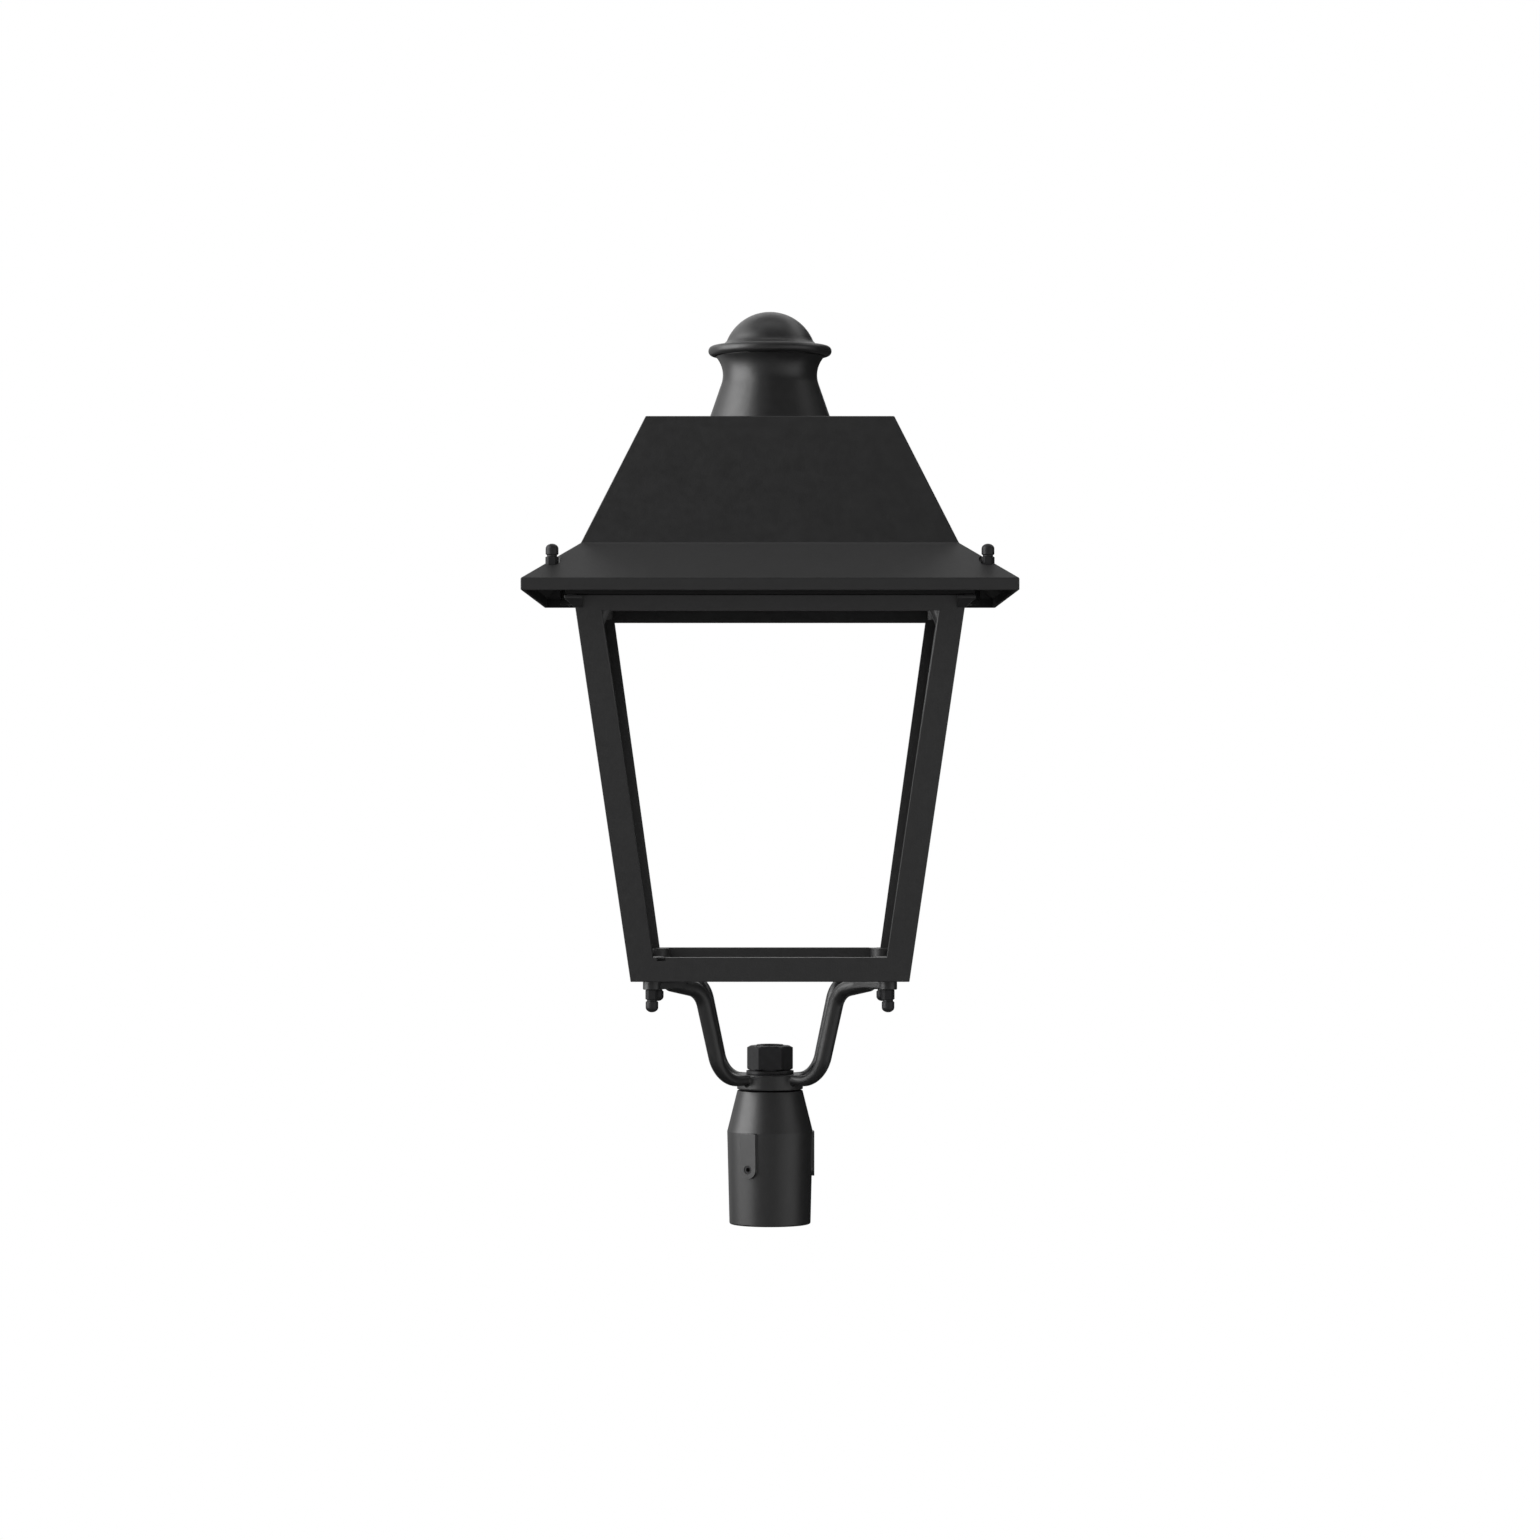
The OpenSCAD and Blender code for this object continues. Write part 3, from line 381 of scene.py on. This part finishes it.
def fused(shape, voxel, rounds, share):
    """One skin over the overlapping solids of shape, with its inner corners filled and its faces thinned out."""
    mesh = bpy.data.meshes.new("parts")
    bmesh.ops.recalc_face_normals(shape, faces=shape.faces)
    shape.to_mesh(mesh)
    shape.free()
    parts = bpy.data.objects.new("parts", mesh)
    bpy.context.scene.collection.objects.link(parts)
    skin = parts.modifiers.new("skin", "REMESH")
    skin.mode = "VOXEL"
    skin.voxel_size = voxel
    fillet = parts.modifiers.new("fillet", "SMOOTH")
    fillet.factor = 0.5
    fillet.iterations = rounds
    thin = parts.modifiers.new("thin out", "DECIMATE")
    thin.ratio = share
    whole = bmesh.new()
    whole.from_object(parts, bpy.context.evaluated_depsgraph_get())
    bpy.data.objects.remove(parts)
    bpy.data.meshes.remove(mesh)
    return whole


shape = loft([circle(r, z) for r, z in (
    (collar_bore_r, collar_z), (collar_step_r, collar_z), (collar_step_r, collar_step_z), (collar_r, collar_step_z),
    (collar_r, collar_top_z), (collar_bore_r, collar_top_z))], closed=True)
eyes = bmesh.new()
line = bent([Vector((x, 0, z)) for x, z in arm_path], bend_radii)
radii = [(rod_r_in_mm + thicker_by_in_mm * min(i / taper_points, 1)) * mm for i in range(len(line))]
for quarter in range(4):
    arm = swept(line, radii, Vector((0, 1, 0)))
    neck = bmesh.new()
    neck_place = Matrix.Translation((eye_reach - neck_l / 2, 0, plate_z - eye_t / 2))
    bmesh.ops.create_cube(neck, size=1, matrix=neck_place @ Matrix.Diagonal((neck_l, neck_w, eye_t, 1)))
    join(arm, neck)
    eye = loft([circle(r, z, centre=(eye_reach, 0)) for r, z in (
        (eye_r - 0.5 * mm, plate_z - eye_t), (eye_r, plate_z - eye_t + 0.5 * mm), (eye_r, plate_z - 0.3 * mm),
        (eye_r - 0.3 * mm, plate_z))])
    turn = Matrix.Rotation(math.radians(45 + 90 * quarter), 3, "Z")
    bmesh.ops.rotate(arm, verts=arm.verts, cent=(0, 0, 0), matrix=turn)
    bmesh.ops.rotate(eye, verts=eye.verts, cent=(0, 0, 0), matrix=turn)
    join(shape, arm)
    join(eyes, eye)
shape = fused(shape, voxel=0.9 * mm, rounds=5, share=0.3)
join(shape, eyes)
piece("fork_cast", shape, smooth_coat, "lantern", "black_coat", "spider_fork")

# ---- Acorn nuts of the fork and the roof ----
# M6 acorn nuts with a tall round head on a narrow waist, forged steel in black zinc: one under each eye of the
# fork and one in each well of the roof.
acorn_flats = 10 * mm
acorn_corner_r = corner_radius(acorn_flats)
head_r = 5.6 * mm
head_z = 15.8 * mm
head_rise = 4.4 * mm
head_steps = 12
tip_r = 0.05 * mm
# Each ring's radius and height, of the hexagon and of the waist above it.
acorn_hexagon = [(acorn_flats / 2 - 0.3 * mm, 0), (acorn_corner_r - 0.15 * mm, 0.45 * mm),
                 (acorn_corner_r, 0.8 * mm), (acorn_corner_r, 8.2 * mm), (acorn_corner_r - 0.2 * mm, 8.6 * mm),
                 (4.7 * mm, 9.0 * mm)]
acorn_waist = [(4.5 * mm, 9.2 * mm), (4.4 * mm, 9.9 * mm), (4.6 * mm, 10.4 * mm), (5.3 * mm, 10.7 * mm),
               (head_r, 11.3 * mm)]


def arc(centre_r, centre_z, radius, turns, rise=None):
    """Outline points round a centre, at turns in degrees; rise flattens the arc to that height."""
    return [(centre_r + radius * math.cos(a), centre_z + (rise or radius) * math.sin(a))
            for a in (math.radians(turn) for turn in turns)]


def closed_at_tip(outline):
    """An outline that never comes closer to the axis than the radius of a tip."""
    return [(max(r, tip_r), z) for r, z in outline]


def acorn_nut(shape, x, y, seat_z, up):
    """Adds an acorn nut that stands on seat_z, or hangs from it where up is -1."""
    head = closed_at_tip(arc(0, head_z, head_r, [90 * i / head_steps for i in range(head_steps + 1)], head_rise))
    rings = [nut_ring(acorn_flats, r, z) for r, z in acorn_hexagon]
    rings += [circle(r, z, ring_points) for r, z in acorn_waist + head]
    rings = [[Vector((x + p.x, y + p.y, seat_z + up * p.z)) for p in ring[::up]] for ring in rings]
    join(shape, loft(rings))


well_xy = 189 * mm
for name, body, xy, seat_z, up in (("fork_nuts", "lantern", eye_xy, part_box("fork_nuts")[1].z, -1),
                                   ("roof_nuts", "roof", well_xy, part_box("roof_nuts")[0].z, 1)):
    shape = bmesh.new()
    for sx, sy in ((1, 1), (-1, 1), (-1, -1), (1, -1)):
        acorn_nut(shape, sx * xy, sy * xy, seat_z, up)
    piece(name + "_forged", shape, black_zinc, body, "black_zinc", name)

# ---- Studs and screws ----
# Rolled steel with bright zinc plate: the studs that the acorn nuts go on, and the screws of the gear tray, the
# light unit, the gear, the chimney and its cap. Only the studs' ends and a few heads are seen.
bright_zinc = plain_finish("bright zinc on steel", {"Metallic": 1.0}, dark=(0.42, 0.42, 0.4), pale=(0.6, 0.6, 0.58),
                           patch=3 * mm, rough=0.24, swing=0.15, speck=0.8 * mm, pit=0.5 * mm, depth=0.01 * mm)
finish_nodes(bright_zinc, "fork_studs", "roof_studs", "tray_screws", "sink_screws", "lens_screws", "gear_screws",
             "neck_screws", "cap_screw")

# ---- Lantern frame ----
# The body of the lantern, cast in one piece: four leaning corner posts between a bottom and a top rail. The posts
# have a chamfer along each window, and at the top corners stand narrow lugs. Its skin is rougher than the fork's.
frame_coat = powder_coat("cast black powder coat", dark=(0.0075, 0.0075, 0.008), pale=(0.0125, 0.0125, 0.013),
                         rough=0.38, lump=1.4 * mm, depth=0.11 * mm)
frame_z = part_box("lantern_frame")[0].z
foot_half_in_mm = 122.9
head_half_in_mm = 171.25
frame_h_in_mm = 338.9
post_w = 23 * mm
window_low_z = 246.1 * mm
window_high_z = 550.4 * mm
chamfer_low_w = 0.4 * mm
chamfer_high_w = 2.2 * mm
chamfer_depth = 1.9 * mm
stand_out = 0.4  # how far a chamfer's plug stands clear of the frame, as a share of the chamfer
web_w = 8 * mm
lug_low_z = 537 * mm
lug_high_z = 565 * mm
lug_inner_x = 163 * mm
web_low_z = 530 * mm
behind_web_y = -140 * mm
clear_of_lugs_y = -184 * mm
clear_of_web_y = -185 * mm
hair = 0.02 * mm  # keeps a plug's face off a face of the frame
edge_slack = 1.2 * mm
rim_h = 1 * mm
back_side = 2


def outer_half(z):
    """Half-width of the frame's outside at a height."""
    return foot_half_in_mm * mm + (z - frame_z) * (head_half_in_mm - foot_half_in_mm) / frame_h_in_mm


def window_half(z):
    """Half-width of a window at a height."""
    return outer_half(z) - post_w


def wedge(low, high):
    """Solid between two level outlines of as many corners each."""
    shape = loft([low, high])
    bmesh.ops.triangulate(shape, faces=shape.faces)
    return shape


def edge_plug(sign):
    """Plug for the chamfer along one side of the front window, which widens from the sill to the top. It also sets
    the web in the upper corner back to the chamfer's depth."""
    ends = []
    for z, w in ((window_low_z, chamfer_low_w), (window_high_z, chamfer_high_w)):
        inner, face = window_half(z), outer_half(z)
        front_y = -stand_out * chamfer_depth - face
        back_y = chamfer_depth - face
        corners = [(inner - web_w, back_y), (inner, back_y), (inner + (1 + stand_out) * w, front_y),
                   (inner - web_w, front_y)]
        ends.append([Vector((sign * x, y, z)) for x, y in corners[::sign]])
    return wedge(*ends)


def level_box(z, half, front_y, back_y):
    """Corners of a level rectangle that goes half to either side of the middle."""
    return [Vector((x, y, z)) for x, y in ((-half, front_y), (half, front_y), (half, back_y), (-half, back_y))]


def flush_plug():
    """Plug that takes the lugs' flare off the front face, except at its corners."""
    return wedge(*(level_box(z, lug_inner_x, clear_of_lugs_y, hair - outer_half(z))
                   for z in (lug_low_z, lug_high_z)))


def corner_plug():
    """Plug that squares the window's upper corners."""
    return wedge(*(level_box(z, window_half(z) - hair, clear_of_web_y, behind_web_y)
                   for z in (web_low_z, window_high_z - hair)))


def carve(shape, tool):
    """Takes the tool's mesh out of shape."""
    parts = []
    for name, solid in (("body", shape), ("tool", tool)):
        bmesh.ops.recalc_face_normals(solid, faces=solid.faces)
        mesh = bpy.data.meshes.new(name)
        solid.to_mesh(mesh)
        solid.free()
        parts.append(bpy.data.objects.new(name, mesh))
        bpy.context.scene.collection.objects.link(parts[-1])
    cut = parts[0].modifiers.new("cut", "BOOLEAN")
    cut.operation = "DIFFERENCE"
    cut.solver = "EXACT"
    cut.object = parts[1]
    carved = bmesh.new()
    carved.from_object(parts[0], bpy.context.evaluated_depsgraph_get())
    for part in parts:
        mesh = part.data
        bpy.data.objects.remove(part)
        bpy.data.meshes.remove(mesh)
    return carved


def on_outside(edge):
    """Whether an edge lies on an upright corner of the frame or round its bottom rim."""
    middle = (edge.verts[0].co + edge.verts[1].co) / 2
    reach = outer_half(middle.z) - edge_slack
    near, far = sorted((abs(middle.x), abs(middle.y)))
    return near > reach or (far > reach and middle.z < frame_z + rim_h)


shape = welded("lantern_frame")
for side in range(4):
    turn = Matrix.Rotation(math.radians(90 * side), 3, "Z")
    for plug in [flush_plug(), edge_plug(1), edge_plug(-1)] + ([corner_plug()] if side == back_side else []):
        bmesh.ops.rotate(plug, verts=plug.verts, cent=(0, 0, 0), matrix=turn)
        shape = carve(shape, plug)
make_flats_whole(shape)
ease(shape, [edge for edge in sharp_edges(shape, least=2.4 * mm) if on_outside(edge)], cast_edge)
piece("lantern_frame_cast", shape, frame_coat, "lantern", "black_coat", "lantern_frame")

# ---- Gear tray ----
# Cast plate on the frame that carries the lighting gear and the roof's studs, with a flat rubber seal under it. Like
# the roof's inside it got only a thin, rough coat. Seals, bush and leads are black rubber.
inside_coat = plain_finish("thin rough inside coat", {"Specular IOR Level": 0.15}, dark=(0.009, 0.009, 0.009),
                           pale=(0.016, 0.016, 0.016), patch=14 * mm, patch_detail=4.0, rough=0.72, swing=0.15,
                           speck=4 * mm, pit=1.2 * mm, depth=0.12 * mm)
piece("gear_tray_cast", eased_solid("gear_tray", least=20 * mm, width=cast_edge), inside_coat, "lantern",
      "black_coat", "gear_tray")

rubber = plain_finish("black rubber", {"Specular IOR Level": 0.25}, dark=(0.011, 0.011, 0.011),
                      pale=(0.019, 0.019, 0.0185), patch=9 * mm, rough=0.68, swing=0.12, speck=2 * mm,
                      pit=0.5 * mm, depth=0.03 * mm)
finish_nodes(rubber, "tray_gasket", "glass_gasket", "lead_grommet", "dc_lead", "mains_leads")

# ---- Light unit ----
# Die-cast aluminium heat sink, screwed down over an opening of the gear tray. Under it are the board with its
# diodes and a moulded lens plate, behind toughened glass.
die_cast = plain_finish("bare die-cast aluminium", {"Metallic": 1.0}, dark=(0.4, 0.41, 0.42), pale=(0.56, 0.57, 0.58),
                        patch=22 * mm, patch_detail=4.0, rough=0.42, swing=0.16, speck=2.5 * mm, pit=0.9 * mm,
                        depth=0.04 * mm)
piece("heat_sink_cast", eased_solid("heat_sink", least=2.4 * mm, width=cast_edge), die_cast, "lantern",
      "bare_aluminium", "heat_sink")

glass = Finish("toughened glass", {"Base Color": (0.86, 0.95, 0.92, 1), "Transmission Weight": 1.0, "IOR": 1.5})
glass_haze = 0.02
glass.feed("Roughness", glass_haze * glass.grain(size=40 * mm))
finish_nodes(glass.material, "glass_cover")

track_pitch = 11.5 * mm
track_w = 0.9 * mm
board_rough, board_swing = 0.38, 0.1
board = Finish("white board with copper tracks", {"Specular IOR Level": 0.4})
track = board.node("ShaderNodeTexBrick", {"offset": 0.0}, {
    "Vector": board.place, "Color1": (1, 1, 1, 1), "Color2": (1, 1, 1, 1), "Mortar": (0, 0, 0, 1), "Scale": 1.0,
    "Mortar Size": track_w, "Mortar Smooth": 0.1, "Brick Width": track_pitch, "Row Height": track_pitch}, "Fac")
board.feed("Base Color", board.between(track, (0.78, 0.78, 0.75), (0.66, 0.67, 0.62)))
board.feed("Roughness", board_swing * board.grain(size=1.5 * mm) + board_rough)
board.relief(track, depth=0.05 * mm)
finish_nodes(board.material, "led_board")

phosphor = plain_finish("yellow phosphor", {"Subsurface Weight": 0.1, "Subsurface Radius": (0.001, 0.0006, 0.0002)},
                        dark=(0.82, 0.6, 0.13), pale=(0.9, 0.74, 0.24), patch=0.8 * mm, rough=0.3, swing=0.1,
                        speck=0.6 * mm)
finish_nodes(phosphor, "led_chips")

clear = Finish("clear moulded plastic", {"Base Color": (0.93, 0.95, 0.96, 1), "Transmission Weight": 1.0,
                                         "IOR": 1.49})
clear_rough, clear_swing = 0.03, 0.05
clear.feed("Roughness", clear_swing * clear.grain(size=5 * mm) + clear_rough)
finish_nodes(clear.material, "lens_array")

# ---- Driver, surge protector, terminal block and gland ----
# Moulded plastic cases, each screwed to the gear tray. The supply cable comes in by a nylon gland, which a nut
# holds in its hole in the tray.


def moulded(name, dark, pale, rough):
    """Moulded plastic with the fine texture of its tool."""
    return plain_finish(name, {"Specular IOR Level": 0.4}, dark, pale, patch=14 * mm, rough=rough, swing=0.12,
                        speck=1.2 * mm, pit=0.6 * mm, depth=0.03 * mm, pit_detail=3.0)


for node, case_slot, case_edge, case in (
        ("led_driver", "driver_case", 1.0 * mm,
         moulded("pale grey case", (0.62, 0.62, 0.6), (0.7, 0.7, 0.68), rough=0.39)),
        ("surge_protector", "surge_case", 0.6 * mm,
         moulded("dark blue case", (0.1, 0.17, 0.28), (0.13, 0.21, 0.33), rough=0.36)),
        ("terminal_block", "terminal_plastic", 0.6 * mm,
         moulded("cream thermoset", (0.72, 0.69, 0.6), (0.79, 0.76, 0.67), rough=0.44))):
    piece(node + "_moulded", eased_solid(node, least=2.4 * mm, width=case_edge), case, "lantern", case_slot, node)
nylon = moulded("black nylon", (0.014, 0.014, 0.014), (0.022, 0.022, 0.021), rough=0.36)
finish_nodes(nylon, "cable_gland", "gland_nut")

# ---- Roof ----
# Hollow cast roof: an upright eave edge, a flare, four steep sides and a flat top, with a well in the flare for
# each stud's nut. It is coated smoother than the frame, and its inside has the gear tray's thin coat.
roof_coat = powder_coat("roof black powder coat", dark=(0.0075, 0.0075, 0.0078), pale=(0.0095, 0.0095, 0.0098),
                        rough=0.35, lump=1.8 * mm, depth=0.04 * mm)
roof = piece("roof_cover_cast", eased_solid("roof_cover", least=2.4 * mm, width=0.8 * mm, corner=12), roof_coat,
             "roof", "black_coat", "roof_cover")
roof.data.materials.append(inside_coat)
eave_inner_half = 213 * mm
faces_inwards = -0.3
for face in roof.data.polygons:
    out = Vector((face.center.x, face.center.y, 0))
    turned = face.normal.dot(out.normalized() + Vector((0, 0, 1)))
    if max(abs(out.x), abs(out.y)) < eave_inner_half and turned < faces_inwards:
        face.material_index = 1

# ---- Chimney and cap ----
# Cast chimney that draws in to a waist and curves out to a lip. The cap on it is a spun dome with a thick rolled
# brim, hollow under the dome, with a boss for its screw.
piece("chimney_neck_cast", make_flats_whole(welded("chimney_neck")), smooth_coat, "roof", "black_coat",
      "chimney_neck")

cap_low_z, cap_top_z = (corner.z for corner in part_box("chimney_cap"))
dome_r = 42.4 * mm
dome_wall = 3 * mm
boss_r = 6 * mm
boss_chamfer = 0.4 * mm
screw_hole_z = cap_low_z + 13 * mm
screw_hole_r = 2.55 * mm
roll_r = 4.55 * mm
roll_reach = 51.4 * mm
roll_down = 35.6 * mm
# From the screw's hole up the inside, round the brim and up the outside: each point's radius and height.
outline = [(0, screw_hole_z), (screw_hole_r, screw_hole_z), (screw_hole_r, cap_low_z),
           (boss_r - boss_chamfer, cap_low_z), (boss_r, cap_low_z + boss_chamfer)]
outline += arc(0, cap_top_z - dome_r, dome_r - dome_wall, range(81, 21, -4))
outline += [(r * mm, cap_top_z - down * mm) for r, down in (
    (36.9, 38.6), (37.8, 39.4), (42.5, 39.5), (42.6, 40.5), (45.3, 40.5), (45.5, 39.5), (46.6, 39.2))]
outline += arc(roll_reach, cap_top_z - roll_down, roll_r, range(-130, 101, 10))
outline += [(r * mm, cap_top_z - down * mm) for r, down in (
    (48.5, 30.8), (46.6, 30.4), (44.6, 30.2), (43.1, 29.7), (41.6, 28.8), (40.4, 27.6))]
outline += arc(0, cap_top_z - dome_r, dome_r, range(22, 91, 4))
shape = loft([circle(r, z, points=128) for r, z in closed_at_tip(outline)])
piece("chimney_cap_spun", shape, smooth_coat, "roof", "black_coat", "chimney_cap")

# ---- Studio ----
# A level view at the photograph's distance, and a pale floor far below the lantern, which a post would hold up. A
# large soft lamp stands at the left, with two weak ones at the right and overhead. Cards on a wide dome, which only
# reflections see, give the black coat its soft greys.
scene = bpy.context.scene
scene.view_settings.view_transform = "Standard"
camera_distance = 4.256
camera_z = 0.4052
image_px = 1540
focal_px = 4690
raised_px = 7
camera = bpy.data.objects.new("camera", bpy.data.cameras.new("camera"))
camera.location = (0, -camera_distance, camera_z)
camera.rotation_euler = (math.radians(90), 0, 0)
camera.data.sensor_width = 36
camera.data.lens = camera.data.sensor_width * focal_px / image_px
camera.data.shift_y = raised_px / image_px
scene.collection.objects.link(camera)
scene.camera = camera


def lamp(name, place, aim, width, height, power):
    """Soft rectangular lamp at place, turned towards aim."""
    light = bpy.data.objects.new(name, bpy.data.lights.new(name, "AREA"))
    light.data.shape = "RECTANGLE"
    light.data.size = width
    light.data.size_y = height
    light.data.energy = power
    light.location = place
    light.rotation_euler = (Vector(aim) - Vector(place)).to_track_quat("-Z", "Y").to_euler()
    scene.collection.objects.link(light)


lamp("left_key", place=(-2.4, -0.6, 1.3), aim=(0, 0, 0.5), width=2.7, height=2.9, power=54)
lamp("right_fill", place=(2.1, -1.3, 0.6), aim=(0, 0, 0.5), width=1.3, height=2.0, power=1.8)
lamp("overhead", place=(0, 0, 3.0), aim=(0, 0, 0.4), width=2.0, height=1.0, power=3.5)

rise_step = 2
turn_step = 4


def on_dome(radius, turn, rise):
    """Point on a dome, at a turn from the front to the right and a rise, both in degrees."""
    across, up = math.radians(turn), math.radians(rise)
    return radius * Vector((math.cos(up) * math.sin(across), -math.cos(up) * math.cos(across), math.sin(up)))


def card(name, radius, turns, rises, level):
    """Card of that brightness on a dome, between two turns and two rises. Only reflections see it."""
    rows = [[on_dome(radius, turn, rise) for turn in range(turns[0], turns[1] + 1, turn_step)]
            for rise in range(rises[0], rises[1] + 1, rise_step)]
    shape = bmesh.new()
    rows = [[shape.verts.new(point) for point in row] for row in rows]
    for low, high in zip(rows, rows[1:]):
        for i in range(len(low) - 1):
            shape.faces.new((low[i], low[i + 1], high[i + 1], high[i]))
    mesh = bpy.data.meshes.new(name)
    shape.to_mesh(mesh)
    shape.free()
    glow = Finish(name, {"Base Color": (0, 0, 0, 1), "Specular IOR Level": 0.0,
                         "Emission Color": (level, level, level, 1), "Emission Strength": 1.0})
    mesh.materials.append(glow.material)
    made = bpy.data.objects.new(name, mesh)
    made.visible_camera = False
    made.visible_diffuse = False
    made.visible_shadow = False
    made.visible_transmission = False
    scene.collection.objects.link(made)


for name, radius, turns, rises, level in (
        ("front_card", 5, (-48, 24), (-32, 24), 0.21),
        ("front_right_card", 5, (24, 84), (-32, 24), 0.4),
        ("right_card", 5, (84, 164), (-32, 42), 0.025),
        ("upper_card", 5, (-48, 84), (24, 60), 0.075),
        ("top_card", 5, (-180, 180), (60, 88), 0.125),
        ("back_card", 5, (164, 200), (-32, 12), 0.04),
        ("left_back_card", 5, (-160, -108), (-32, 30), 0.45),
        ("left_low_card", 2, (-148, -48), (-32, -8), 0.02),
        ("low_card", 2, (-180, 180), (-88, -32), 0.025)):
    card(name, radius, turns, rises, level)


class Air(Finish):
    """The light of the world round the lantern, with the nodes that vary it."""

    def __init__(self, name):
        self.world = bpy.data.worlds.new(name)
        self.world.use_nodes = True
        self.tree = self.world.node_tree
        self.surface = self.tree.nodes["Background"]


dimming = 0.25  # of the world, for the rays that don't see it as a background
air = Air("studio")
air.surface.inputs["Color"].default_value = (1, 1, 1, 1)
seen = air.node("ShaderNodeLightPath", outlet="Is Camera Ray")
for kind in ("Is Glossy Ray", "Is Transmission Ray"):
    ray = air.node("ShaderNodeLightPath", outlet=kind)
    seen = air.node("ShaderNodeMath", {"operation": "MAXIMUM"}, {0: seen, 1: ray})
air.feed("Strength", 1 - dimming * (1 - seen))
scene.world = air.world

floor_z = -2.6
floor_half = 4
lit_share = 0.4  # how much the floor's own light counts to the camera; the rest is plain white, and far off all is
fade_from, fade_to = 3.0, 4.4
floor_shape = bmesh.new()
bmesh.ops.create_grid(floor_shape, x_segments=8, y_segments=8, size=floor_half,
                      matrix=Matrix.Translation((0, 0, floor_z)))
floor_mesh = bpy.data.meshes.new("floor")
floor_shape.to_mesh(floor_mesh)
floor_shape.free()
floor = bpy.data.objects.new("floor", floor_mesh)
scene.collection.objects.link(floor)
pale = Finish("pale studio floor", {"Roughness": 0.8, "Specular IOR Level": 0.1})
pale.feed("Base Color", pale.between(pale.grain(size=300 * mm), (0.82, 0.82, 0.82), (0.84, 0.84, 0.84)))
away = pale.node("ShaderNodeVectorMath", {"operation": "LENGTH"}, {0: pale.place}, "Value")
far_off = pale.steep(away, fade_from, fade_to)
white = pale.node("ShaderNodeLightPath", outlet="Is Camera Ray") * (1 - lit_share * (1 - far_off))
lit = Shade(pale, pale.surface.outputs[0])
mixed = pale.node("ShaderNodeMixShader", inlets={0: white, 1: lit, 2: pale.node("ShaderNodeEmission")})
pale.tree.links.new(mixed.socket, pale.tree.nodes["Material Output"].inputs["Surface"])
floor_mesh.materials.append(pale.material)
